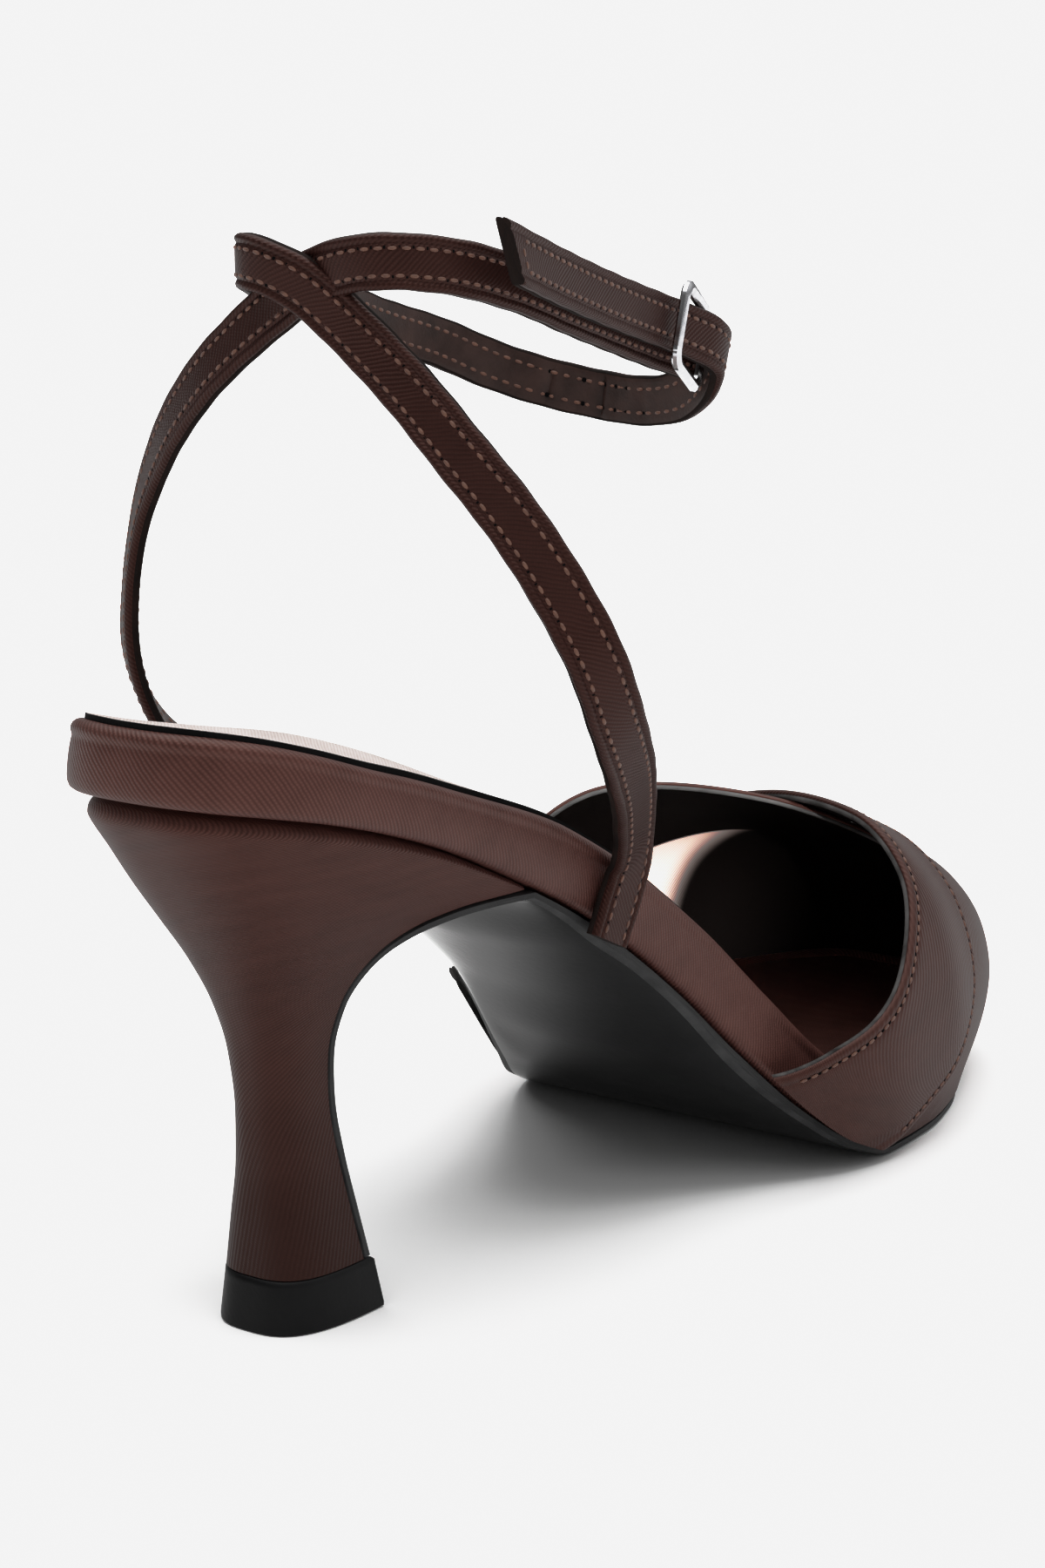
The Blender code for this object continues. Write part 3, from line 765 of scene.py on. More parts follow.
@dataclass
class Cloths:
    """The node groups that more than one finish uses, with the sizes of their patterns."""

    rib_slant: float = 0.8
    rib_rate: float = 0.78
    slub_scale: float = 0.9
    streak_scale: float = 0.22
    knot_rate: float = 7.0
    knot_depth: float = 0.18
    cloud_levels: Span = (0.3, 0.7)
    fold_rate: float = 0.35
    pebble_share: float = 0.6

    def __post_init__(self) -> None:
        """Build each group once."""
        self.twill = self.make_twill()
        self.mottle = self.make_mottle()
        self.grain = self.make_grain()
        self.dots = self.make_dots()

    def make_twill(self) -> bpy.types.NodeTree:
        """Return the slanting ribs of a satin twill, over cloth coordinates in millimetres."""
        group, sketch, entry = shared_group("satin_twill", ["Pitch", "Unevenness"], ["Height", "Shade"])
        cloth, pitch = entry.outputs["Vector"], entry.outputs["Pitch"]
        along, over = sketch.split(cloth)
        slub = sketch.noise(cloth, self.slub_scale, 2.0)
        wander = sketch.math("MULTIPLY", slub, entry.outputs["Unevenness"])
        slant = sketch.math("MULTIPLY_ADD", over, self.rib_slant, along)
        turns = sketch.math("DIVIDE", slant, pitch)
        phase = sketch.math("ADD", sketch.math("MULTIPLY", turns, 2 * math.pi * self.rib_rate), wander)
        rib = sketch.math("MULTIPLY_ADD", sketch.math("SINE", phase), 0.5, 0.5)
        fall = sketch.math("MULTIPLY_ADD", along, -self.rib_slant, over)
        knots = sketch.math("MULTIPLY", sketch.math("DIVIDE", fall, pitch), self.knot_rate)
        float_end = sketch.math("SINE", sketch.math("ADD", knots, wander))
        broken = sketch.math("MULTIPLY_ADD", float_end, self.knot_depth, 1 - self.knot_depth)
        height = sketch.math("MULTIPLY", rib, broken)
        streak = sketch.noise(cloth, self.streak_scale, 3.0)
        sketch.add("NodeGroupOutput", {"Height": height, "Shade": streak})
        return group

    def make_mottle(self) -> bpy.types.NodeTree:
        """Return a soft mask of cloudy patches."""
        group, sketch, entry = shared_group("mottle", ["Scale"], ["Mask"])
        clouds = sketch.noise(entry.outputs["Vector"], entry.outputs["Scale"], 4.0)
        sketch.add("NodeGroupOutput", {"Mask": sketch.remap(clouds, self.cloud_levels)})
        return group

    def make_grain(self) -> bpy.types.NodeTree:
        """Return the pebbled height of a smooth leather."""
        group, sketch, entry = shared_group("leather_grain", ["Scale"], ["Height"])
        place, scale = entry.outputs["Vector"], entry.outputs["Scale"]
        pebbles = sketch.add("ShaderNodeTexVoronoi", {"Vector": place, "Scale": scale}).outputs[0]
        folds = sketch.noise(place, sketch.math("MULTIPLY", scale, self.fold_rate), 3.0)
        height = sketch.math("ADD", sketch.math("MULTIPLY", pebbles, self.pebble_share), folds)
        sketch.add("NodeGroupOutput", {"Height": height})
        return group

    @staticmethod
    def make_dots() -> bpy.types.NodeTree:
        """Return the dotted height of a plain weave, over cloth coordinates in millimetres."""
        group, sketch, entry = shared_group("plain_weave", ["Thread"], ["Height"])
        along, over = sketch.split(entry.outputs["Vector"])
        turn = sketch.math("DIVIDE", 2 * math.pi, entry.outputs["Thread"])
        warp = sketch.math("SINE", sketch.math("MULTIPLY", along, turn))
        weft = sketch.math("SINE", sketch.math("MULTIPLY", over, turn))
        height = sketch.math("MULTIPLY_ADD", sketch.math("MULTIPLY", warp, weft), 0.5, 0.5)
        sketch.add("NodeGroupOutput", {"Height": height})
        return group

    def patches(self, sketch: NodeSketch, place: Socket, scale: float) -> Socket:
        """Place the cloudy patches in a material and return their mask."""
        feeds = {"Vector": place, "Scale": scale}
        return sketch.add("ShaderNodeGroup", feeds, node_tree=self.mottle).outputs[0]

    def weave(self, sketch: NodeSketch, place: Socket, thread: float) -> Socket:
        """Place the plain weave in a material and return its height."""
        feeds = {"Vector": place, "Thread": thread}
        return sketch.add("ShaderNodeGroup", feeds, node_tree=self.dots).outputs[0]


def new_material(
    name: str, settings: dict[str, object]
) -> tuple[bpy.types.Material, NodeSketch, bpy.types.Node]:
    """Start a material.

    Args:
        name: the material's name.
        settings: plain values of the shader's own sockets.

    Returns:
        The material, a sketch of its tree and its shader.
    """
    material = bpy.data.materials.new(name)
    material.use_nodes = True
    sketch = NodeSketch(material.node_tree)
    shader = material.node_tree.nodes["Principled BSDF"]
    sketch.feed(shader, settings)
    return material, sketch, shader


@dataclass(frozen=True)
class SatinFinish:
    """Brown satin with slanting ribs and a soft sheen."""

    name: str
    dark: Colour = (0.014, 0.0049, 0.0040, 1.0)
    light: Colour = (0.082, 0.0316, 0.0255, 1.0)
    tint: Colour = (1.0, 0.52, 0.44, 1.0)
    pitch: float = 0.6
    unevenness: float = 2.2
    relief: float = 0.00007
    bump: float = 0.7
    smooth: float = 0.38
    rough: float = 0.5
    lustre: float = 0.42
    stretch_of_gloss: float = 0.3
    contrast: float = 0.16
    streaks: float = 0.4
    clouds: float = 0.15
    cloud_scale: float = 0.12
    foot_shade: float = 1.0
    foot_from: float = 0.0
    foot_to: float = 100.0

    def material(self, cloths: Cloths) -> bpy.types.Material:
        """Make the material, which reads the piece's own cloth coordinates.

        Args:
            cloths: the shared node groups.

        Returns:
            The new material.
        """
        settings = {
            "Specular IOR Level": self.lustre,
            "Specular Tint": self.tint,
            "Anisotropic": self.stretch_of_gloss,
        }
        material, sketch, shader = new_material(self.name, settings)
        cloth = sketch.cloth()
        feeds = {"Vector": cloth, "Pitch": self.pitch, "Unevenness": self.unevenness}
        twill = sketch.add("ShaderNodeGroup", feeds, node_tree=cloths.twill)
        ribs = twill.outputs["Height"]
        patches = cloths.patches(sketch, cloth, self.cloud_scale)
        shade = sketch.math("MULTIPLY", ribs, self.contrast)
        shade = sketch.math("MULTIPLY_ADD", twill.outputs["Shade"], self.streaks, shade)
        shade = sketch.math("MULTIPLY_ADD", patches, self.clouds, shade)
        height = sketch.split(cloth)[1]
        # painted shade: the colour darkens towards the low end of the cloth's second coordinate
        foot = sketch.remap(height, (self.foot_from, self.foot_to), (self.foot_shade, 1.0))
        shade = sketch.math("MULTIPLY", shade, foot)
        feeds = {
            "Base Color": sketch.blend(shade, self.dark, self.light),
            "Roughness": sketch.remap(ribs, into=(self.rough, self.smooth)),
            "Normal": sketch.bump(ribs, self.bump, self.relief),
        }
        sketch.feed(shader, feeds)
        return material


@dataclass(frozen=True)
class LeatherFinish:
    """A smooth lining or sole leather with a fine grain."""

    name: str
    dark: Colour
    light: Colour
    scale: float
    relief: float
    roughness: float
    gloss: float = 0.2
    bump: float = 0.5
    cloud_scale: float = 0.18
    smoother: float = 0.85
    rougher: float = 1.2

    def material(self, cloths: Cloths) -> bpy.types.Material:
        """Make the material, which reads the piece's own cloth coordinates.

        Args:
            cloths: the shared node groups.

        Returns:
            The new material.
        """
        material, sketch, shader = new_material(self.name, {"Specular IOR Level": self.gloss})
        cloth = sketch.cloth()
        feeds = {"Vector": cloth, "Scale": self.scale}
        grain = sketch.add("ShaderNodeGroup", feeds, node_tree=cloths.grain).outputs[0]
        patches = cloths.patches(sketch, cloth, self.cloud_scale)
        spread = (self.roughness * self.smoother, self.roughness * self.rougher)
        feeds = {
            "Base Color": sketch.blend(patches, self.dark, self.light),
            "Roughness": sketch.remap(patches, into=spread),
            "Normal": sketch.bump(grain, self.bump, self.relief),
        }
        sketch.feed(shader, feeds)
        return material


@dataclass(frozen=True)
class SockFinish:
    """The pale woven sock, with a fine dotted weave."""

    name: str
    dark: Colour = (0.30, 0.265, 0.255, 1.0)
    light: Colour = (0.54, 0.49, 0.475, 1.0)
    thread: float = 0.62
    roughness: float = 0.62
    gloss: float = 0.35
    sheen: float = 0.2
    weave_share: float = 0.7
    cloud_scale: float = 0.09
    bump: float = 0.5
    relief: float = 0.00008

    def material(self, cloths: Cloths) -> bpy.types.Material:
        """Make the material, which reads the piece's own cloth coordinates.

        Args:
            cloths: the shared node groups.

        Returns:
            The new material.
        """
        settings = {
            "Roughness": self.roughness,
            "Specular IOR Level": self.gloss,
            "Sheen Weight": self.sheen,
        }
        material, sketch, shader = new_material(self.name, settings)
        cloth = sketch.cloth()
        dots = cloths.weave(sketch, cloth, self.thread)
        patches = cloths.patches(sketch, cloth, self.cloud_scale)
        cloudy = sketch.math("MULTIPLY", patches, 1 - self.weave_share)
        share = sketch.math("MULTIPLY_ADD", dots, self.weave_share, cloudy)
        feeds = {
            "Base Color": sketch.blend(share, self.dark, self.light),
            "Normal": sketch.bump(dots, self.bump, self.relief),
        }
        sketch.feed(shader, feeds)
        return material


@dataclass(frozen=True)
class MouthFinish:
    """The vamp's lining: a pale woven cloth behind a leather facing, with painted shade that turns it near
    black towards the toe.
    """

    name: str
    # near black: the leather facing's colour, which also serves as the painted shade deep inside the toe
    leather: Colour = (0.002, 0.0012, 0.001, 1.0)
    dark: Colour = (0.50, 0.36, 0.32, 1.0)
    light: Colour = (0.92, 0.76, 0.70, 1.0)
    thread: float = 0.5
    roughness: float = 0.8
    gloss: float = 0.04
    seam_slope: float = 0.75
    seam_level: float = -95.35
    seam_half: float = 0.3
    fade_start: float = 175.0
    fade_end: float = 182.0
    bump: float = 0.4
    relief: float = 0.00006

    def material(self, cloths: Cloths) -> bpy.types.Material:
        """Make the material, which reads the mouth attribute: x, and hundredths of the way round.

        Args:
            cloths: the shared node groups.

        Returns:
            The new material.
        """
        settings = {"Roughness": self.roughness, "Specular IOR Level": self.gloss}
        material, sketch, shader = new_material(self.name, settings)
        cloth = sketch.cloth()
        mark = sketch.add("ShaderNodeAttribute", attribute_name=MOUTH)
        along, over = sketch.split(mark.outputs["Vector"])
        seam = sketch.math("MULTIPLY_ADD", along, self.seam_slope, self.seam_level)
        under = sketch.math("SUBTRACT", seam, over)
        facing = sketch.remap(under, (-self.seam_half, self.seam_half))
        # painted shade: towards the toe the pale cloth gives way to the near-black leather colour
        unshaded_share = sketch.remap(along, (self.fade_start, self.fade_end), (1.0, 0.0), "SMOOTHSTEP")
        pale = sketch.math("MULTIPLY", facing, unshaded_share)
        dots = cloths.weave(sketch, cloth, self.thread)
        woven = sketch.blend(dots, self.dark, self.light)
        feeds = {
            "Base Color": sketch.blend(pale, self.leather, woven),
            "Normal": sketch.bump(dots, self.bump, self.relief),
        }
        sketch.feed(shader, feeds)
        return material


@dataclass(frozen=True)
class MetalFinish:
    """Polished metal with faint hairlines."""

    name: str
    colour: Colour = (0.56, 0.56, 0.575, 1.0)
    roughness: float = 0.14
    dulled: float = 0.8
    smoother: float = 0.7
    rougher: float = 1.8
    cloud_scale: float = 700.0

    def material(self, cloths: Cloths) -> bpy.types.Material:
        """Make the material, which reads Object coordinates.

        Args:
            cloths: the shared node groups.

        Returns:
            The new material.
        """
        material, sketch, shader = new_material(self.name, {"Metallic": 1.0})
        patches = cloths.patches(sketch, sketch.place(), self.cloud_scale)
        worn = (*(level * self.dulled for level in self.colour[:3]), 1.0)
        spread = (self.roughness * self.smoother, self.roughness * self.rougher)
        feeds = {
            "Base Color": sketch.blend(patches, self.colour, worn),
            "Roughness": sketch.remap(patches, into=spread),
        }
        sketch.feed(shader, feeds)
        return material


@dataclass(frozen=True)
class ThreadFinish:
    """Sewing thread, a little lighter than the satin."""

    name: str
    dark: Colour = (0.10, 0.036, 0.021, 1.0)
    light: Colour = (0.21, 0.080, 0.046, 1.0)
    roughness: float = 0.5
    sheen: float = 0.15
    cloud_scale: float = 900.0

    def material(self, cloths: Cloths) -> bpy.types.Material:
        """Make the material, which reads Object coordinates.

        Args:
            cloths: the shared node groups.

        Returns:
            The new material.
        """
        settings = {"Roughness": self.roughness, "Sheen Weight": self.sheen}
        material, sketch, shader = new_material(self.name, settings)
        patches = cloths.patches(sketch, sketch.place(), self.cloud_scale)
        sketch.feed(shader, {"Base Color": sketch.blend(patches, self.dark, self.light)})
        return material


class Wardrobe:
    """Every finish of the shoe, made once."""

    def __init__(self, cloths: Cloths) -> None:
        """Make the materials.

        Args:
            cloths: the shared node groups.
        """
        self.cloths = cloths
        brown, warm = (0.022, 0.0115, 0.0095, 1.0), (0.056, 0.030, 0.025, 1.0)
        grey, pale = (0.025, 0.024, 0.0235, 1.0), (0.125, 0.12, 0.118, 1.0)
        ink, soot = (0.003, 0.003, 0.0033, 1.0), (0.006, 0.006, 0.0063, 1.0)
        ash, slate = (0.02, 0.02, 0.0205, 1.0), (0.06, 0.06, 0.0605, 1.0)
        bark, umber = (0.006, 0.004, 0.0035, 1.0), (0.020, 0.012, 0.010, 1.0)
        shade, russet = (0.005, 0.0018, 0.0015, 1.0), (0.11, 0.0424, 0.0342, 1.0)
        dusk, cocoa = (0.007, 0.0023, 0.0019, 1.0), (0.036, 0.0132, 0.0107, 1.0)
        copper = (0.132, 0.052, 0.043, 1.0)
        # heel satin: lighter at the top, with painted shade darkening it towards the bottom of the heel
        foot = {"foot_shade": 0.1, "foot_from": 16.0, "foot_to": 78.0}
        fluffy = {"roughness": 0.9, "gloss": 0.05}
        matt = {"scale": 5.0, "relief": 0.0001, "roughness": 0.8, "gloss": 0.1}
        self.satin = SatinFinish("brown_satin").material(cloths)
        self.heel_satin = SatinFinish("heel_satin", shade, russet, contrast=0.45, **foot).material(cloths)
        # painted light: the board's edge takes a lighter copy of the same brown satin, standing for the
        # light it catches
        edge = SatinFinish("edge_satin", light=copper, lustre=0.55, contrast=0.55)
        self.edge_satin = edge.material(cloths)
        # painted shade: the straps take a darker copy of the same brown satin, standing for the shade on
        # their back-facing sides
        strap = SatinFinish("strap_satin", dusk, cocoa, lustre=0.36, contrast=0.5)
        self.strap_satin = strap.material(cloths)
        self.lining = self.leather("lining_leather", brown, warm, scale=2.6, relief=0.00008, roughness=0.42)
        self.fuzz = self.leather("cut_lining", grey, pale, scale=7.0, relief=0.0002, **fluffy)
        # painted shade: near-black beads sunk at the needle holes stand for the shade inside them
        self.needle = self.leather("needle_hole", ink, ink, scale=5.0, relief=0.0001, **fluffy)
        self.raw = self.leather("cut_edge", bark, umber, **matt)
        self.board = self.leather("sock_edge", ink, soot, **matt)
        self.sock = SockFinish("woven_sock").material(cloths)
        polished = {"scale": 0.9, "relief": 0.00002, "roughness": 0.08, "gloss": 0.18}
        self.sole = self.leather("glossy_sole", ink, soot, **polished)
        # sole edge: its own dark grey, lightened as a painted highlight of the glossy edge
        self.sole_edge = self.leather("sole_edge", ash, slate, scale=3.0, relief=0.00008, roughness=0.6)
        moulded = {"scale": 1.6, "relief": 0.00004, "roughness": 0.42, "gloss": 0.16}
        self.rubber = self.leather("black_rubber", ink, soot, **moulded)
        self.mouth = MouthFinish("mouth_lining").material(cloths)
        self.metal = MetalFinish("polished_metal").material(cloths)
        self.thread = ThreadFinish("brown_thread").material(cloths)

    def leather(self, name: str, dark: Colour, light: Colour, **sizes: float) -> bpy.types.Material:
        """Return a leather of two colours, whose other values are given by name."""
        return LeatherFinish(name, dark, light, **sizes).material(self.cloths)

    def strap_set(self) -> list[bpy.types.Material]:
        """Return the materials of a strap, in the order of Zone."""
        return [self.strap_satin, self.lining, self.raw]

    def band_set(self) -> list[bpy.types.Material]:
        """Return the materials of a vamp band, in the order of Zone."""
        return [self.satin, self.mouth, self.fuzz]

    def stitch_set(self) -> list[bpy.types.Material]:
        """Return the materials of a stitching: thread, then the painted shade of the needle holes."""
        return [self.thread, self.needle]


def add_piece(
    mesh: bpy.types.Mesh, materials: list[bpy.types.Material], slot: str, *nodes: str
) -> bpy.types.Object:
    """Link a mesh as a piece of the shoe.

    Args:
        mesh: the finished mesh, in the frame.
        materials: its materials, in index order.
        slot: the record's material slot; not used.
        nodes: the CAD nodes that it stands for.

    Returns:
        The new object.
    """
    piece = bpy.data.objects.new(mesh.name, mesh)
    bpy.context.scene.collection.objects.link(piece)
    for material in materials:
        mesh.materials.append(material)
    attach(piece, "root")
    if nodes:
        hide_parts(*nodes)
    LOG.info("%s: %d faces", piece.name, len(mesh.polygons))
    return piece


@dataclass
class SoleShape:
    """The long profile and the outline that the sole pieces share."""

    rows: list[SoleRow] = field(default_factory=lambda: SOLE_ROWS)
    length: float = BOARD_LENGTH
    outline_steps: int = 160
    end_slowing: float = 0.85
    slope_reach: float = 0.5

    def __post_init__(self) -> None:
        """Make the curves."""
        curves = column_curves(self.rows, "x")
        self.bottom = curves["bottom"]
        self.lateral = curves["lateral"]
        self.medial = curves["medial"]

    def up(self, x: float) -> Vector:
        """Return the board's upward normal at x."""
        low, high = max(x - self.slope_reach, 0.0), min(x + self.slope_reach, self.length)
        return Vector((self.bottom(low) - self.bottom(high), 0.0, high - low)).normalized()

    def across(self, x: float, side: float, set_in: float = 0.0) -> float:
        """Return the place across the sole, side going from -1, lateral, to +1, medial."""
        lateral, medial = self.lateral(x) - set_in, self.medial(x) - set_in
        return (medial - lateral) / 2 + side * (medial + lateral) / 2

    def outline(self, count: int, rounding: int) -> list[Vector]:
        """Return the closed outline seen from above.

        Args:
            count: points round it.
            rounding: how many times its corners are eased.

        Returns:
            Points from the toe along the lateral side, round the seat and back along the medial side.
        """
        shares = [1 - step / self.outline_steps for step in range(self.outline_steps + 1)]
        down = [self.length * end_slowed(share, self.end_slowing) for share in shares]
        ring = [Vector((x, -self.lateral(x), 0.0)) for x in down]
        ring += [Vector((x, self.medial(x), 0.0)) for x in reversed(down)]
        ring.append(ring[0].copy())
        reach = running_length(ring)
        even = []
        for step in range(count):
            index, share = share_along(reach, reach[-1] * step / count)
            even.append(ring[index].lerp(ring[index + 1], share))
        for _ in range(rounding):
            even = [(even[i - 1] + even[i] * 2 + even[(i + 1) % count]) / 4 for i in range(count)]
        return even


@dataclass
class WrappedInsole:
    """The padded board: its satin edge with the rolled bead, its floor and the sock."""

    sole: SoleShape
    stations: int = 340
    rounding: int = 6
    thinning: float = 0.19
    thin_stretch: Stretch = (1.0, 64.0, 26.0)
    sheet_steps: int = 110
    sheet_columns: int = 24
    sheet_slowing: float = 0.8
    sheet_end: float = 0.25
    back_turn: float = 3.5
    front_turn: float = 12.0
    half_width: float = 22.0
    floor_back: float = 5.0
    floor_front: float = 203.0
    floor_set_in: float = 4.2
    floor_level: float = 9.7
    floor_thickness: float = 1.0
    sock_back: float = 1.4
    sock_front: float = 118.0
    sock_set_in: float = 2.5
    sock_level: float = 9.9
    sock_edge: float = 0.45
    sock_thickness: float = 1.1
    sock_crown: float = 3.4
    crown_stretch: Stretch = (8.0, 60.0, 24.0)

    def build(self, wardrobe: Wardrobe) -> None:
        """Build and dress the pieces of the insole.

        Args:
            wardrobe: the finishes.
        """
        rim = add_piece(self.rim_mesh(), [wardrobe.edge_satin], "satin", "wrapped_insole")
        add_piece(self.floor_mesh(), [wardrobe.satin], "satin")
        add_piece(self.sock_mesh(), [wardrobe.sock, wardrobe.board], "sock", "insole_sock")

    def fullness(self, x: float) -> float:
        """Return the board's height at x as a share of its full height, thinner under the heel."""
        return 1 - self.thinning * window(x, *self.thin_stretch)

    def rim_mesh(self) -> bpy.types.Mesh:
        """Return the wrapped edge, swept round the outline."""
        ring = self.sole.outline(self.stations, self.rounding)
        rows = [*RIM_ROWS, RIM_ROWS[0]]
        sections, measures = [], []
        walked = 0.0
        for step in range(self.stations + 1):
            here = ring[step % self.stations]
            before, after = ring[step % self.stations - 1], ring[(step + 1) % self.stations]
            up = self.sole.up(here.x)
            run = after - before
            rise = self.sole.bottom(after.x) - self.sole.bottom(before.x)
            run = Vector((run.x, run.y, rise)).normalized()
            out = up.cross(run).normalized()
            foot = Vector((here.x, here.y, self.sole.bottom(here.x)))
            height = self.fullness(here.x)
            section = [foot + out * row.out + up * row.up * height for row in rows]
            if sections:
                walked += (section[0] - sections[-1][0]).length
            sections.append(section)
            measures.append([(walked, length) for length in running_length(section)])
        return swept_mesh("wrapped_insole_edge", sections, measures, crease=80)

    def sheet_sections(
        self,
        start: float,
        end: float,
        set_in: float,
        height: Callable[[float, float], float],
        thick: float,
    ) -> tuple[Sections, Measures]:
        """Return the sections of a thin sheet that lies on the board.

        Args:
            start: x of its back end.
            end: x of its front end.
            set_in: distance from the outline.
            height: its top above the board's underside, from x and the side.
            thick: its thickness.

        Returns:
            The sections and their cloth coordinates.
        """
        sections, measures = [], []
        sides = self.column_sides()
        for step in range(self.sheet_steps + 1):
            x = start + (end - start) * end_slowed(step / self.sheet_steps, self.sheet_slowing)
            bend = min((x - start) / self.back_turn, (end - x) / self.front_turn, 1.0)
            narrow = self.sheet_end + (1 - self.sheet_end) * math.sqrt(max(1 - (1 - bend) ** 2, 0.0))
            middle = self.sole.across(x, 0.0, set_in)
            up = self.sole.up(x)
            top, low, cloth = [], [], []
            for side in sides:
                y = middle + (self.sole.across(x, side, set_in) - middle) * narrow
                foot = Vector((x, y, self.sole.bottom(x)))
                low_level = (height(x, side) - thick) * self.fullness(x)
                top.append(foot + up * (low_level + thick))
                low.append(foot + up * low_level)
                cloth.append((x, y))
            sections.append([*top, *reversed(low), top[0]])
            measures.append([*cloth, *reversed(cloth), cloth[0]])
        return sections, measures

    def column_sides(self) -> list[float]:
        """Return the sides of a sheet's columns, with a narrow one at each edge."""
        columns, edge = self.sheet_columns, self.sock_edge / self.half_width
        inner = [-(1 - edge) + 2 * (1 - edge) * step / columns for step in range(columns + 1)]
        return [-1.0, *inner, 1.0]

    def floor_mesh(self) -> bpy.types.Mesh:
        """Return the satin floor that shows in front of the sock."""
        sections, measures = self.sheet_sections(
            self.floor_back,
            self.floor_front,
            self.floor_set_in,
            lambda x, side: self.floor_level,
            self.floor_thickness,
        )
        return swept_mesh("insole_floor", sections, measures)

    def sock_height(self, x: float, side: float) -> float:
        """Return the sock's top above the board's underside, crowned over the heel."""
        padded = self.sock_crown * window(x, *self.crown_stretch)
        return self.sock_level + self.sock_thickness + padded * (1 - side * side)

    def sock_mesh(self) -> bpy.types.Mesh:
        """Return the sock, whose edge columns and ends are near black."""
        sections, measures = self.sheet_sections(
            self.sock_back, self.sock_front, self.sock_set_in, self.sock_height, self.sock_thickness
        )
        count = len(self.column_sides())
        zones = [0 if 0 < column < count - 2 else 1 for column in range(2 * count)]
        return swept_mesh("insole_sock_sheet", sections, measures, zones, cap_zone=1)


@dataclass
class Heel:
    """The covered heel and its tip."""

    sole: SoleShape
    rings: int = 90
    curve_points: int = 70
    front_points: int = 12

    def build(self, wardrobe: Wardrobe) -> None:
        """Build and dress the heel and the tip.

        Args:
            wardrobe: the finishes.
        """
        covered = self.lofted("covered_heel", HEEL_ROWS, self.rings)
        add_piece(covered, [wardrobe.heel_satin], "satin", "heel")
        tip = self.lofted("heel_tip", LIFT_ROWS, len(LIFT_ROWS) - 1)
        add_piece(tip, [wardrobe.rubber], "lift", "top_lift")

    def ring(self, curves: dict[str, SmoothCurve], at: float) -> list[Vector]:
        """Return one closed D section.

        Args:
            curves: the curves of the table's columns.
            at: the row number, which may lie between two rows.

        Returns:
            The section's points: the flat front, then the curved back.
        """
        row = HeelRow(*(curves[name](at) for name in HeelRow._fields))
        length = row.front_x - row.back_x
        seat_back, seat_front = self.sole.bottom(row.back_x), self.sole.bottom(row.front_x)
        shares = [1 - 2 * step / self.front_points for step in range(self.front_points)]
        outline = [(row.front_x, row.half_width * share) for share in shares]
        power = 2 / row.fullness
        for step in range(self.curve_points + 1):
            angle = -math.pi / 2 + math.pi * step / self.curve_points
            x = row.front_x - length * abs(math.cos(angle)) ** power
            outline.append((x, row.half_width * math.copysign(abs(math.sin(angle)) ** power, angle)))
        points = []
        for x, y in outline:
            part = (x - row.back_x) / length
            chord = row.back_z + (row.front_z - row.back_z) * part
            seat = seat_back + (seat_front - seat_back) * part
            points.append(Vector((x, y, chord + row.bow * (self.sole.bottom(x) - seat))))
        return points

    def lofted(self, name: str, rows: list[HeelRow], rings: int) -> bpy.types.Mesh:
        """Return the closed mesh through a table of sections.

        Args:
            name: the mesh's name.
            rows: the table.
            rings: steps from its first row to its last.

        Returns:
            The new mesh.
        """
        curves = column_curves(rows)
        last = len(rows) - 1
        sections = [self.ring(curves, last * step / rings) for step in range(rings + 1)]
        measures = []
        for section in sections:
            level = section[len(section) * 2 // 3].z
            measures.append([(length, level) for length in running_length(section)])
        return swept_mesh(name, sections, measures, crease=42)


class SoleStation(NamedTuple):
    """One section of the sole sheet: its inner face's middle line, downward normal and two edges."""

    point: Vector
    down: Vector
    lateral: float
    medial: float


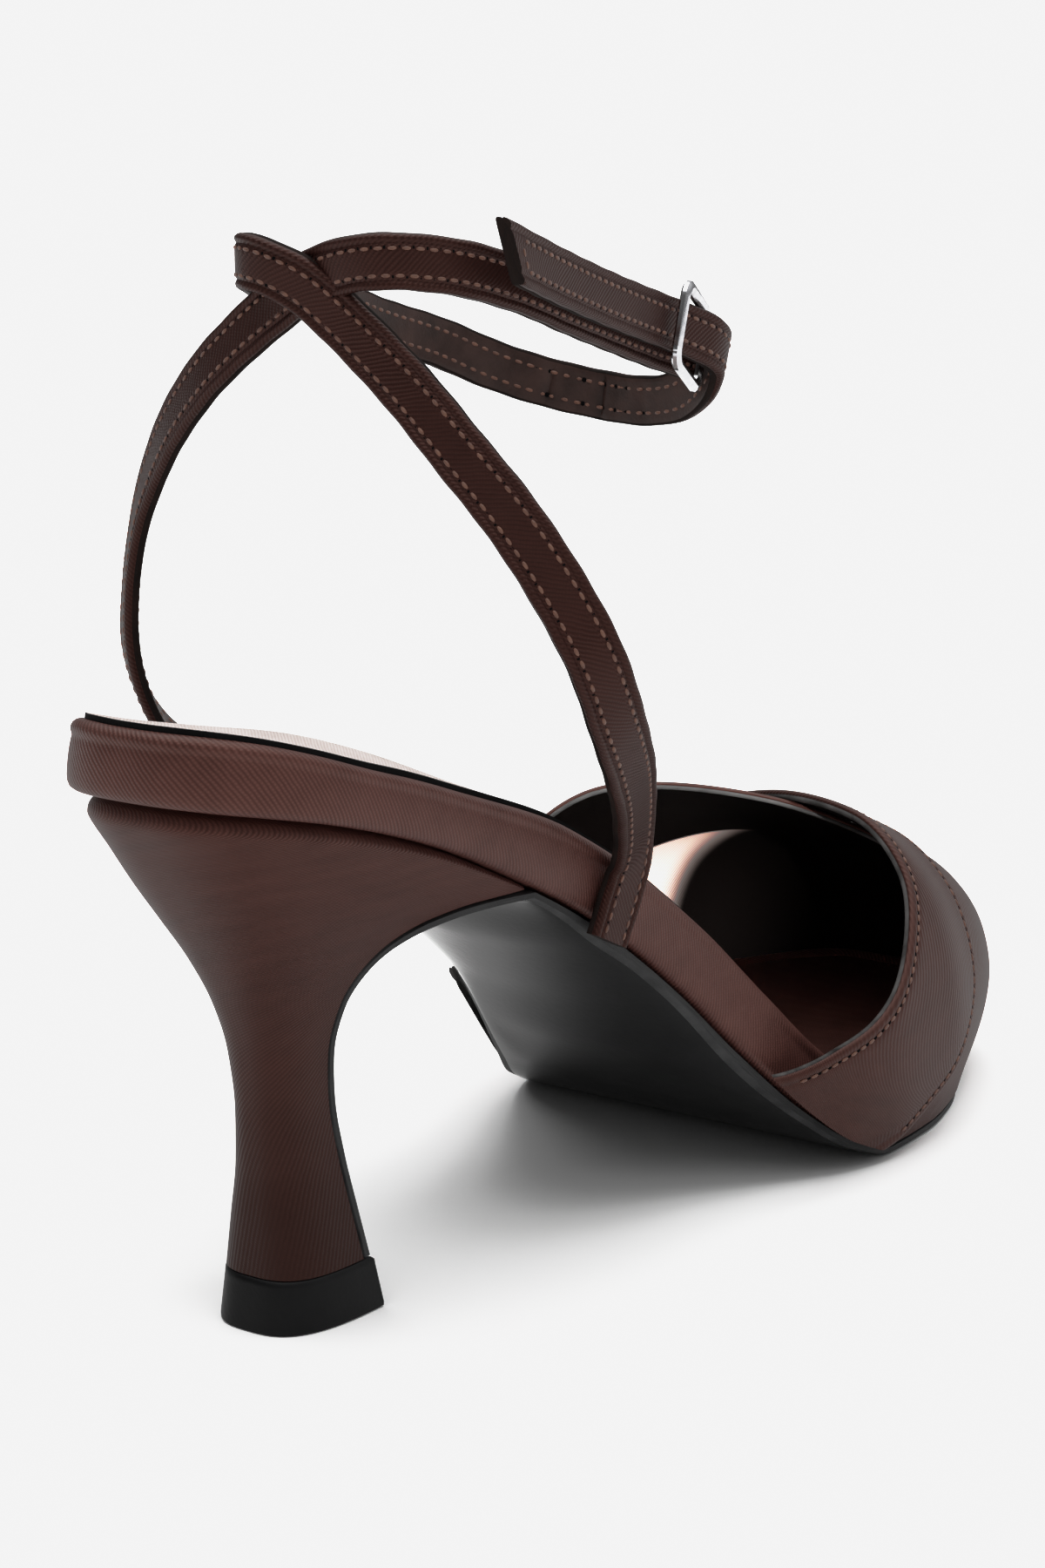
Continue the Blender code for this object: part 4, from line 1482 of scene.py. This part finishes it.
@dataclass
class Outsole:
    """The black sole sheet, which runs on down the heel's breast."""

    sole: SoleShape
    thickness: float = 1.6
    set_in: float = 1.6
    welt: float = 1.7
    welt_start: float = 104.0
    welt_full: float = 134.0
    toe_welt: float = 0.9
    toe_welt_start: float = 165.0
    toe_welt_reach: float = 30.0
    toe_rounding: float = 5.0
    toe_width: float = 0.35
    lip_x: float = 61.6
    steps: int = 120
    crowding: float = 1.6
    breast_start: float = 0.2
    breast_steps: int = 60
    breast_reach: float = 0.05
    columns: int = 28
    edge_crowding: float = 0.35
    edge_power: int = 14
    edge_round: float = 0.5
    inner_round: float = 0.25
    belly: float = 3.0
    belly_stretch: Stretch = (58.0, 124.0, 20.0)
    inner_shift: float = 80.0
    swellings: tuple[Span, ...] = ((78.0, 6.0), (110.0, 8.0))
    swelling_depth: float = 0.55
    swelling_half: float = 22.0
    swelling_power: int = 5
    swelling_floor: float = 8.0

    def build(self, wardrobe: Wardrobe) -> None:
        """Build and dress the sole sheet."""
        add_piece(self.mesh(), [wardrobe.sole, wardrobe.sole_edge], "outsole", "outsole")

    def sole_stations(self) -> list[SoleStation]:
        """Return the sections under the foot, from the toe back to the heel's lip."""
        found = []
        start = self.sole.length + self.toe_welt
        for step in range(self.steps + 1):
            x = start - (start - self.lip_x) * (step / self.steps) ** self.crowding
            under = min(x, self.sole.length)
            up = self.sole.up(under)
            point = Vector((x, 0.0, self.sole.bottom(under))) - up * GAP
            share = ramp(x, self.welt_start, self.welt_full - self.welt_start)
            front = ramp(x, self.toe_welt_start, self.toe_welt_reach)
            welt = self.welt + (self.toe_welt - self.welt) * front
            set_in = self.set_in - (self.set_in + welt) * eased(share)
            lateral, medial = self.sole.across(under, -1, set_in), self.sole.across(under, 1, set_in)
            bend = min(max(1 - (start - x) / self.toe_rounding, 0.0), 1.0)
            narrow = self.toe_width + (1 - self.toe_width) * math.sqrt(1 - bend * bend)
            middle, half = (lateral + medial) / 2, (medial - lateral) / 2 * narrow
            found.append(SoleStation(point, -up, middle - half, middle + half))
        return found

    def breast_stations(self) -> list[SoleStation]:
        """Return the sections down the front of the heel."""
        found = []
        curves = column_curves(HEEL_ROWS)
        front_x, front_z = curves["front_x"], curves["front_z"]
        last = len(HEEL_ROWS) - 1
        for step in range(1, self.breast_steps + 1):
            at = last * (self.breast_start + (1 - self.breast_start) * step / self.breast_steps)
            before, after = max(at - self.breast_reach, 0.0), min(at + self.breast_reach, last)
            run_x, run_z = front_x(after) - front_x(before), front_z(after) - front_z(before)
            out = Vector((-run_z, 0.0, run_x)).normalized()
            half = curves["half_width"](at)
            point = Vector((front_x(at), 0.0, front_z(at))) + out * GAP
            found.append(SoleStation(point, out, -half, half))
        return found

    def mesh(self) -> bpy.types.Mesh:
        """Return the closed sheet with rounded edges."""
        sections, measures = [], []
        walked = 0.0
        last_point = None
        for station in [*self.sole_stations(), *self.breast_stations()]:
            point, down = station.point, station.down
            walked += (point - last_point).length if last_point else 0.0
            last_point = point
            outer, inner, cloth_out, cloth_in = [], [], [], []
            for step in range(self.columns + 1):
                side = -1 + 2 * step / self.columns
                crowd = math.sin(side * math.pi / 2) * self.edge_crowding + side * (1 - self.edge_crowding)
                y = (station.lateral + station.medial) / 2 + crowd * (station.medial - station.lateral) / 2
                near_edge = abs(side) ** self.edge_power
                depth = self.thickness - self.edge_round * near_edge + self.swelling(point.x, y, point.z)
                depth += self.belly * (1 - side * side) * window(point.x, *self.belly_stretch)
                outer.append(Vector((point.x, y, point.z)) + down * depth)
                inner.append(Vector((point.x, y, point.z)) + down * self.inner_round * near_edge)
                cloth_out.append((walked, y))
                cloth_in.append((walked, y + self.inner_shift))
            sections.append([*outer, *reversed(inner), outer[0]])
            measures.append([*cloth_out, *reversed(cloth_in), cloth_out[0]])
        zones = [0 if 0 < column < self.columns - 1 else 1 for column in range(2 * self.columns + 2)]
        return swept_mesh("sole_sheet", sections, measures, zones, cap_zone=1, crease=60)

    def swelling(self, x: float, y: float, z: float) -> float:
        """Return how far the sheet stands out over the cloth lasted under it.

        Args:
            x: place along the sole.
            y: place across it.
            z: height, below which the sheet lies flat on the floor.

        Returns:
            The distance outwards.
        """
        if z < self.swelling_floor:
            return 0.0
        found = 0.0
        for middle, wide in self.swellings:
            near = math.exp(-(((x - middle) / wide) ** 2))
            outer = min(abs(y) / self.swelling_half, 1.0)
            found += self.swelling_depth * near * outer ** self.swelling_power
        return found


class LoopPoint(NamedTuple):
    """A point round a sewn band: across it, out from its middle, and the cloth that follows."""

    across: float
    out: float
    zone: Zone


@dataclass(frozen=True)
class SewnEdge:
    """The closed section of a sewn band or strap with turned edges."""

    spans: int
    thickness: float
    easing: float = 1.0

    def loop(self, width: float, low: float = 1.0, high: float = 1.0) -> list[LoopPoint]:
        """Return the section's points in order.

        Args:
            width: width of the band.
            low: how much the margins at the low edge are stretched.
            high: how much those at the high edge are.

        Returns:
            Points from the outer middle round the high edge, the lining and the low edge, closed.
        """
        half = width / 2
        scale = self.thickness / 2 / EDGE_HALF
        back = EDGE_ROWS[::-1]
        back_zones = [*(row.zone for row in back[1:]), Zone.SATIN]
        top = [LoopPoint(half - row.from_edge * high, row.out * scale, row.zone) for row in EDGE_ROWS]
        end = []
        for row, zone in zip(back, back_zones):
            end.append(LoopPoint(-half + row.from_edge * low, row.out * scale, zone))
        lining = self.between(top[-1], end[0], Zone.LINING)
        outer = self.between(end[-1], top[0], Zone.SATIN)
        return [*top, *lining, *end, *outer, top[0]]

    def between(self, start: LoopPoint, end: LoopPoint, zone: Zone) -> list[LoopPoint]:
        """Return the points of a flat stretch between two others.

        Args:
            start: the point before the stretch.
            end: the point after it.
            zone: the cloth of the stretch.

        Returns:
            The points, crowded towards the high edge where the easing is over 1.
        """
        shares = [step / (self.spans + 1) for step in range(1, self.spans + 1)]
        if end.across > start.across:
            shares = [1 - (1 - share) ** self.easing for share in shares]
        else:
            shares = [share ** self.easing for share in shares]
        across = [start.across + (end.across - start.across) * share for share in shares]
        return [LoopPoint(place, start.out, zone) for place in across]


@dataclass
class Forefoot:
    """The last's shape under the vamp."""

    sole: SoleShape
    longest_step: float = 0.6
    shortest_step: float = 0.05
    toe_slowing: float = 0.1
    round_step: float = 0.006

    def __post_init__(self) -> None:
        """Make the curves of the last and of its section."""
        self.curves = column_curves(FOREFOOT_ROWS, "x")
        signs = {"out": -1, "up": 1, "tuck": -1}
        self.section = {column: self.whole(column, sign) for column, sign in signs.items()}

    @staticmethod
    def whole(column: str, sign: float) -> SmoothCurve:
        """Return a section column from base to base.

        Args:
            column: the column's name.
            sign: what the medial half's values are multiplied by.

        Returns:
            The curve over the way round the last.
        """
        places = [row.round_last for row in SECTION_ROWS]
        values = [getattr(row, column) for row in SECTION_ROWS]
        far = [1 - place for place in reversed(places[:-1])]
        return SmoothCurve(places + far, values + [sign * value for value in reversed(values[:-1])])

    def point(self, x: float, round_last: float) -> Vector:
        """Return a point of the last.

        Args:
            x: place along the foot.
            round_last: the way round, from 0, lateral base, to 1, medial base.

        Returns:
            The table point.
        """
        lateral_side = round_last < 0.5
        widest = self.curves["lateral" if lateral_side else "medial"](x)
        base = (self.sole.lateral(x) if lateral_side else self.sole.medial(x)) + VAMP_GAP
        bottom = self.sole.bottom(x)
        height = self.curves["crown"](x) - bottom
        out = widest * self.section["out"](round_last)
        tucked = (widest - base) * self.section["tuck"](round_last)
        return Vector((x, tucked - out, bottom + GAP + height * self.section["up"](round_last)))

    def normal(self, x: float, round_last: float) -> Vector:
        """Return the last's outward normal.

        Args:
            x: place along the foot.
            round_last: the way round.

        Returns:
            The normal.
        """
        step = min(self.longest_step, self.shortest_step + (TOE_FRONT - x) * self.toe_slowing)
        forward = self.point(min(x + step, TOE_FRONT), round_last) - self.point(x - step, round_last)
        low, high = max(round_last - self.round_step, 0.0), min(round_last + self.round_step, 1.0)
        over = self.point(x, high) - self.point(x, low)
        return forward.cross(over).normalized()


@dataclass
class VampBand:
    """One band of the vamp, from its own side of the foot over to the other."""

    name: str
    rows: list[BandRow]
    mirrored: bool
    lift: float
    last: Forefoot
    wall: float = 1.8
    steps: int = 170
    spans: int = 16
    easing: float = 1.0
    closed_toe: bool = False
    margin: float = 1.35
    stitch_margin: float = 1.82
    stitch_start: float = 0.03
    thread_level: float = 0.86
    slope_reach: float = 0.01
    least_slant: float = 0.4

    def __post_init__(self) -> None:
        """Make the edge curves."""
        curves = column_curves(self.rows, "round_last")
        self.rear, self.front = curves["rear"], curves["front"]

    def round_last(self, part: float) -> float:
        """Return the place round the last for a part of the band."""
        return 1 - part if self.mirrored else part

    def stretch(self, edge: SmoothCurve, part: float) -> float:
        """Return how much longer a margin is along the foot than across the slanting edge.

        Args:
            edge: the edge's place along the foot.
            part: the part of the band.

        Returns:
            The factor.
        """
        low, high = max(part - self.slope_reach, 0.0), min(part + self.slope_reach, 1.0)
        run = self.last.point(edge(high), self.round_last(high))
        run -= self.last.point(edge(low), self.round_last(low))
        place = self.round_last(part)
        ahead = min(edge(part) + 0.5, TOE_FRONT)
        forward = self.last.point(ahead, place) - self.last.point(ahead - 1.0, place)
        slant = run.normalized().cross(forward.normalized()).length
        return 1 / max(slant, self.least_slant) / max(forward.length, 1.0)

    def spot(self, x: float, part: float, out: float) -> Vector:
        """Return a point of the band.

        Args:
            x: place along the foot.
            part: the part of the band.
            out: distance from the middle of its wall.

        Returns:
            The table point.
        """
        place = self.round_last(part)
        normal = self.last.normal(x, place)
        return self.last.point(x, place) + normal * (self.lift + self.wall / 2 + out)

    def mesh(self) -> bpy.types.Mesh:
        """Return the band as one closed wall with turned edges."""
        edge = SewnEdge(self.spans, self.wall, self.easing)
        sections, measures, marks = [], [], []
        walked = 0.0
        zones: list[int] = []
        for step in range(self.steps + 1):
            part = step / self.steps
            rear, front = self.rear(part), self.front(part)
            low = self.margin * self.stretch(self.rear, part)
            high = self.margin * self.stretch(self.front, part)
            loop = edge.loop(front - rear, low, high)
            middle = (rear + front) / 2
            section = [self.spot(middle + point.across, part, point.out) for point in loop]
            place = 100 * (1 - self.round_last(part))
            marks.append([Vector((middle + point.across, place, 0.0)) for point in loop])
            if sections:
                walked += (section[-3] - sections[-1][-3]).length
            zones = [int(point.zone) for point in loop]
            sections.append(section)
            measures.append([(walked, length) for length in running_length(section)])
        return swept_mesh(self.name, sections, measures, zones, Zone.RAW, 60, marks)

    def sew(self, stitching: Stitching) -> None:
        """Stitch along the sewn edges.

        Args:
            stitching: takes the stitches.
        """
        out = self.wall / 2 * self.thread_level
        edges = [(self.rear, 1)] if self.closed_toe else [(self.rear, 1), (self.front, -1)]
        for edge, way in edges:
            points, normals = [], []
            for step in range(self.steps + 1):
                part = self.stitch_start + (1 - 2 * self.stitch_start) * step / self.steps
                x = edge(part) + way * self.stitch_margin * self.stretch(edge, part)
                points.append(self.spot(x, part, out))
                normals.append(self.last.normal(x, self.round_last(part)))
            stitching.sew(points, normals)


@dataclass
class Vamp:
    """The two crossing bands."""

    last: Forefoot
    outer_wall: float = 1.8
    outer_lift: float = 1.45
    inner_wall: float = 1.4
    inner_spans: int = 30
    inner_easing: float = 2.4

    def build(self, wardrobe: Wardrobe) -> None:
        """Build and dress the bands and their stitching.

        Args:
            wardrobe: the finishes.
        """
        outer = VampBand(
            OUTER_BAND, OUTER_BAND_ROWS, False, self.outer_lift, self.last, wall=self.outer_wall
        )
        inner = VampBand(
            INNER_BAND,
            INNER_BAND_ROWS,
            True,
            0.0,
            self.last,
            wall=self.inner_wall,
            spans=self.inner_spans,
            easing=self.inner_easing,
            closed_toe=True,
        )
        add_piece(outer.mesh(), wardrobe.band_set(), "satin", "vamp")
        add_piece(inner.mesh(), wardrobe.band_set(), "satin")
        stitching = Stitching()
        outer.sew(stitching)
        inner.sew(stitching)
        add_piece(stitching.mesh("vamp_stitching"), wardrobe.stitch_set(), "satin")


class StrapFrame(NamedTuple):
    """A strap's centre line and directions at one distance along it."""

    centre: Vector
    along: Vector
    outward: Vector
    wide: Vector
    width: float


@dataclass
class Strap:
    """One ankle strap: satin outside, leather inside, sewn along both edges."""

    name: str
    rows: list[StrapRow]
    thickness: float = 2.2
    spans: int = 3
    step: float = 1.3
    marks_per_row: int = 24
    slope_reach: float = 0.06
    tip_skew: float = 0.0
    tip_reach: float = 14.0
    gather_start: float = 0.0
    gather_end: float = 0.0
    gather_fade: float = 5.0
    gather_depth: float = 0.42
    gather_at_edge: float = 0.35
    lining_level: float = -0.9
    waviness: float = 0.012
    wave_rate: float = 0.9
    stitch_margin: float = 2.0
    thread_level: float = 0.94
    end_margin: float = 0.5
    tip_margin: float = 2.4
    tip_points: int = 9

    def __post_init__(self) -> None:
        """Measure the centre line."""
        self.curves = column_curves(self.rows, flowing=True)
        self.last = len(self.rows) - 1
        self.marks = [i / self.marks_per_row for i in range(self.last * self.marks_per_row + 1)]
        self.reach = running_length([self.centre(at) for at in self.marks])
        self.length = self.reach[-1]

    def centre(self, at: float) -> Vector:
        """Return the centre line's point at a row number."""
        return Vector((self.curves["x"](at), self.curves["y"](at), self.curves["z"](at)))

    def frame(self, place: float) -> StrapFrame:
        """Return the strap's frame.

        Args:
            place: distance along the strap.

        Returns:
            The centre, directions and width there.
        """
        index, share = share_along(self.reach, place)
        at = self.marks[index] + (self.marks[index + 1] - self.marks[index]) * min(share, 1.0)
        low, high = max(at - self.slope_reach, 0.0), min(at + self.slope_reach, self.last)
        along = (self.centre(high) - self.centre(low)).normalized()
        face = math.radians(self.curves["face"](at))
        outward = Vector((math.cos(face), math.sin(face), 0.0))
        outward = (outward - along * outward.dot(along)).normalized()
        width = self.curves["width"](at)
        return StrapFrame(self.centre(at), along, outward, along.cross(outward), width)

    def skew(self, place: float, across_share: float) -> float:
        """Return how far a point is moved along the strap by the slanting cut of its tip."""
        return self.tip_skew * across_share * ramp(place, self.length - self.tip_reach, self.tip_reach)

    def gathers(self, place: float) -> float:
        """Return the depth of the lining's gathers, an uneven wave.

        Args:
            place: distance along the strap.

        Returns:
            The distance that the lining moves outwards.
        """
        if self.gather_end <= self.gather_start:
            return 0.0
        inside = window(place, self.gather_start, self.gather_end, self.gather_fade)
        folds = math.sin(place * 2.15 + 0.7 * math.sin(place * 0.83))
        creases = 0.6 * math.sin(place * 3.4 + 1.0)
        return self.gather_depth * inside * (folds + creases)

    def mesh(self) -> bpy.types.Mesh:
        """Return the closed strap with turned edges."""
        edge = SewnEdge(self.spans, self.thickness)
        count = round(self.length / self.step)
        sections, measures = [], []
        zones: list[int] = []
        for index in range(count + 1):
            place = self.length * index / count
            frame = self.frame(place)
            loop = edge.loop(frame.width)
            gather = self.gathers(place)
            section = []
            for point in loop:
                out = point.out
                share = 2 * point.across / frame.width
                if point.out < self.lining_level:
                    middle = 1 - share ** 4
                    out += gather * (self.gather_at_edge + (1 - self.gather_at_edge) * middle)
                moved = frame.along * self.skew(place, share)
                across = point.across * (1 - self.waviness * math.sin(place * self.wave_rate))
                section.append(frame.centre + frame.wide * across + frame.outward * out + moved)
            zones = [int(point.zone) for point in loop]
            sections.append(section)
            measures.append([(place, length) for length in running_length(section)])
        return swept_mesh(self.name, sections, measures, zones, Zone.RAW, 60)

    def sew(self, stitching: Stitching) -> None:
        """Stitch along both edges, on both faces, and across a slanting tip.

        Args:
            stitching: takes the stitches.
        """
        out = self.thickness / 2 * self.thread_level
        count = round(self.length / self.step)
        tip = self.tip_margin if self.tip_skew else self.end_margin
        for way, face in ((-1, 1.0), (1, 1.0), (-1, -1.0), (1, -1.0)):
            points, normals = [], []
            for index in range(count + 1):
                place = self.end_margin + (self.length - self.end_margin - tip) * index / count
                frame = self.frame(place)
                across = way * (frame.width / 2 - self.stitch_margin)
                moved = frame.along * self.skew(place, 2 * across / frame.width)
                points.append(frame.centre + frame.wide * across + frame.outward * out * face + moved)
                normals.append(frame.outward * face)
            stitching.sew(points, normals)
        if self.tip_skew:
            frame = self.frame(self.length - tip)
            points = []
            for index in range(self.tip_points):
                share = 2 * index / (self.tip_points - 1) - 1
                across = (frame.width / 2 - self.stitch_margin) * share
                moved = frame.along * self.skew(self.length, 2 * across / frame.width)
                points.append(frame.centre + frame.wide * across + frame.outward * out + moved)
            stitching.sew(points, [frame.outward] * self.tip_points)


@dataclass
class AnkleStraps:
    """The two straps that cross behind the ankle, and the buckle that holds the tail."""

    tip_skew: float = 3.6
    gather_start: float = 222.0
    gather_end: float = 246.0
    bar_over: Vector = field(default_factory=lambda: Vector((93.6, -27.1, 139.7)))
    bar_under: Vector = field(default_factory=lambda: Vector((105.4, -22.8, 134.2)))
    buckle_faces: Vector = field(default_factory=lambda: Vector((-0.25, -0.95, 0.15)))
    buckle_width: float = 11.4
    lean: float = 0.16
    corner: float = 2.0
    corner_steps: int = 8

    def build(self, wardrobe: Wardrobe) -> None:
        """Build and dress the straps, their stitching and the buckle.

        Args:
            wardrobe: the finishes.
        """
        lateral = Strap(
            "ankle_strap_lateral",
            LATERAL_STRAP_ROWS,
            tip_skew=self.tip_skew,
            gather_start=self.gather_start,
            gather_end=self.gather_end,
        )
        medial = Strap("ankle_strap_medial", MEDIAL_STRAP_ROWS)
        add_piece(lateral.mesh(), wardrobe.strap_set(), "satin", "ankle_straps")
        add_piece(medial.mesh(), wardrobe.strap_set(), "satin")
        stitching = Stitching()
        lateral.sew(stitching)
        medial.sew(stitching)
        add_piece(stitching.mesh("strap_stitching"), wardrobe.stitch_set(), "satin")
        add_piece(self.buckle_mesh(), [wardrobe.metal], "buckle", "buckle_frame")

    def buckle_mesh(self) -> bpy.types.Mesh:
        """Return the rectangular frame, swept from a bar with a ridge along it."""
        along = (self.bar_under - self.bar_over).normalized()
        across = along.cross(self.buckle_faces).normalized()
        face = across.cross(along).normalized()
        across = (across - along * math.copysign(self.lean, across.z)).normalized()
        half = self.buckle_width / 2
        corners = [
            (self.bar_over, 1, -along),
            (self.bar_over, -1, -along),
            (self.bar_under, -1, along),
            (self.bar_under, 1, along),
        ]
        path = []
        for number, (bar, way, ahead) in enumerate(corners):
            pivot = bar - ahead * self.corner + across * way * (half - self.corner)
            for step in range(self.corner_steps + 1):
                turn = math.pi / 2 * step / self.corner_steps
                turn = math.pi / 2 - turn if number % 2 else turn
                outward = across * way * math.cos(turn) + ahead * math.sin(turn)
                path.append((pivot + outward * self.corner, outward))
        rows = [*BAR_ROWS, BAR_ROWS[0]]
        sections, measures = [], []
        for point, outward in [*path, path[0]]:
            section = [point + outward * row.out + face * row.up for row in rows]
            sections.append(section)
            measures.append([(0.0, length) for length in running_length(section)])
        return swept_mesh("buckle_frame_bar", sections, measures, crease=28)


@dataclass
class Studio:
    """The pale floor, the soft lights, the print's tones and the camera."""

    eye: Vector = field(default_factory=lambda: Vector((-415.46, -301.76, 182.22)))
    heading: float = 36.95
    pitch: float = -12.87
    roll: float = -0.84
    lens: float = 76.11
    sensor: float = 36.0
    paper: Colour = (0.84, 0.84, 0.84, 1.0)
    paper_size: float = 30.0
    white: Colour = (1.0, 1.0, 1.0, 1.0)
    bright_side: tuple[float, float, float] = (0.3, -0.25, 0.92)
    bright_levels: Span = (0.05, 1.0)
    dim: float = 0.1
    bright: float = 0.8
    backdrop: float = 0.9
    tones: tuple[Span, ...] = ((0.12, 0.12), (0.2, 0.18), (0.32, 0.43), (0.5, 0.81), (0.63, 0.9))
    key_light: Vector = field(default_factory=lambda: Vector((-0.05, 0.05, 1.5)))
    key_target: Vector = field(default_factory=lambda: Vector((0.0, 0.0, 0.06)))
    key_spread: float = 84.0
    key_power: float = 1.9
    mouth: Vector = field(default_factory=lambda: Vector((61.0, 34.0, 33.0)))
    mouth_light: Vector = field(default_factory=lambda: Vector((-330.0, -330.0, 240.0)))
    mouth_spread: float = 2.5
    mouth_power: float = 230.0
    mouth_blend: float = 0.8
    mouth_softness: float = 0.03

    def build(self) -> None:
        """Build the floor, lights, world, tones and camera."""
        self.floor()
        self.lights()
        self.world()
        self.print_tones()
        self.camera()

    def floor(self) -> None:
        """Add a wide pale floor."""
        work = bmesh.new()
        bmesh.ops.create_grid(work, x_segments=4, y_segments=4, size=self.paper_size)
        mesh = bpy.data.meshes.new("studio_floor")
        work.to_mesh(mesh)
        work.free()
        floor = bpy.data.objects.new("studio_floor", mesh)
        bpy.context.scene.collection.objects.link(floor)
        settings = {"Base Color": self.paper, "Roughness": 0.9, "Specular IOR Level": 0.1}
        material, _, _ = new_material("floor_paper", settings)
        mesh.materials.append(material)

    @staticmethod
    def add_aimed(name: str, data: bpy.types.ID, place: Vector, turn: Quaternion) -> bpy.types.Object:
        """Link a lamp or camera.

        Args:
            name: the object's name.
            data: the light or camera.
            place: where it stands, in metres.
            turn: how it is turned.

        Returns:
            The new object.
        """
        item = bpy.data.objects.new(name, data)
        item.location = place
        item.rotation_mode = "QUATERNION"
        item.rotation_quaternion = turn
        bpy.context.scene.collection.objects.link(item)
        return item

    def lights(self) -> None:
        """Add one broad soft light overhead and a small one that reaches only the inner band's lining."""
        sun = bpy.data.lights.new("key_light", "SUN")
        sun.angle = math.radians(self.key_spread)
        sun.energy = self.key_power
        turn = (self.key_target - self.key_light).to_track_quat("-Z", "Y")
        self.add_aimed("key_light", sun, self.key_light, turn)
        glow = bpy.data.lights.new("mouth_light", "SPOT")
        glow.energy = self.mouth_power
        glow.spot_size = math.radians(self.mouth_spread)
        glow.spot_blend = self.mouth_blend
        glow.shadow_soft_size = self.mouth_softness
        turn = (self.mouth - self.mouth_light).to_track_quat("-Z", "Y")
        lamp = self.add_aimed("mouth_light", glow, self.mouth_light * MM, turn)
        lit = bpy.data.collections.new("mouth_light_only")
        lit.objects.link(bpy.data.objects[INNER_BAND])
        lamp.light_linking.receiver_collection = lit

    def world(self) -> None:
        """Add the light of a white room that is brighter over the lateral side."""
        world = bpy.data.worlds.new("white_room")
        world.use_nodes = True
        sketch = NodeSketch(world.node_tree)
        room = world.node_tree.nodes["Background"]
        way = sketch.add("ShaderNodeTexCoord").outputs["Generated"]
        feeds = {0: way, 1: self.bright_side}
        facing = sketch.add("ShaderNodeVectorMath", feeds, operation="DOT_PRODUCT").outputs["Value"]
        level = sketch.remap(facing, self.bright_levels, (self.dim, self.bright), "SMOOTHSTEP")
        sketch.feed(room, {"Color": self.white, "Strength": level})
        seen = sketch.add("ShaderNodeBackground", {"Color": self.white, "Strength": self.backdrop})
        path = sketch.add("ShaderNodeLightPath")
        feeds = {0: path.outputs["Is Camera Ray"], 1: room.outputs[0], 2: seen.outputs[0]}
        mixed = sketch.add("ShaderNodeMixShader", feeds)
        sketch.feed(world.node_tree.nodes["World Output"], {"Surface": mixed.outputs[0]})
        bpy.context.scene.world = world

    def print_tones(self) -> None:
        """Set the tone curve: dark tones as they are, the paper one even pale grey."""
        view = bpy.context.scene.view_settings
        view.view_transform = "Standard"
        view.use_curve_mapping = True
        view.curve_mapping.extend = "HORIZONTAL"
        curve = view.curve_mapping.curves[3]
        curve.points[-1].location = (1.0, self.backdrop)
        for level, printed in self.tones:
            curve.points.new(level, printed).handle_type = "AUTO_CLAMPED"
        view.curve_mapping.update()

    def camera(self) -> None:
        """Add the camera at the photograph's viewing angle."""
        heading, pitch = math.radians(self.heading), math.radians(self.pitch)
        level = math.cos(pitch)
        look = Vector((level * math.cos(heading), level * math.sin(heading), math.sin(pitch)))
        data = bpy.data.cameras.new("photo_camera")
        data.lens = self.lens
        data.sensor_width = self.sensor
        data.clip_start = 0.01
        roll = Quaternion((0.0, 0.0, 1.0), math.radians(self.roll))
        turn = look.to_track_quat("-Z", "Y") @ roll
        bpy.context.scene.camera = self.add_aimed("photo_camera", data, self.eye * MM, turn)


def main() -> None:
    """Build the shoe round its frame, then the studio."""
    logging.basicConfig(level=logging.INFO, format="%(name)s %(message)s")
    for item in list(bpy.data.objects):
        bpy.data.objects.remove(item)
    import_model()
    wardrobe = Wardrobe(Cloths())
    sole = SoleShape()
    for part in (Outsole(sole), WrappedInsole(sole), Heel(sole), Vamp(Forefoot(sole)), AnkleStraps()):
        part.build(wardrobe)
    Studio().build()
    bpy.context.view_layer.update()


if __name__ == "__main__":
    main()
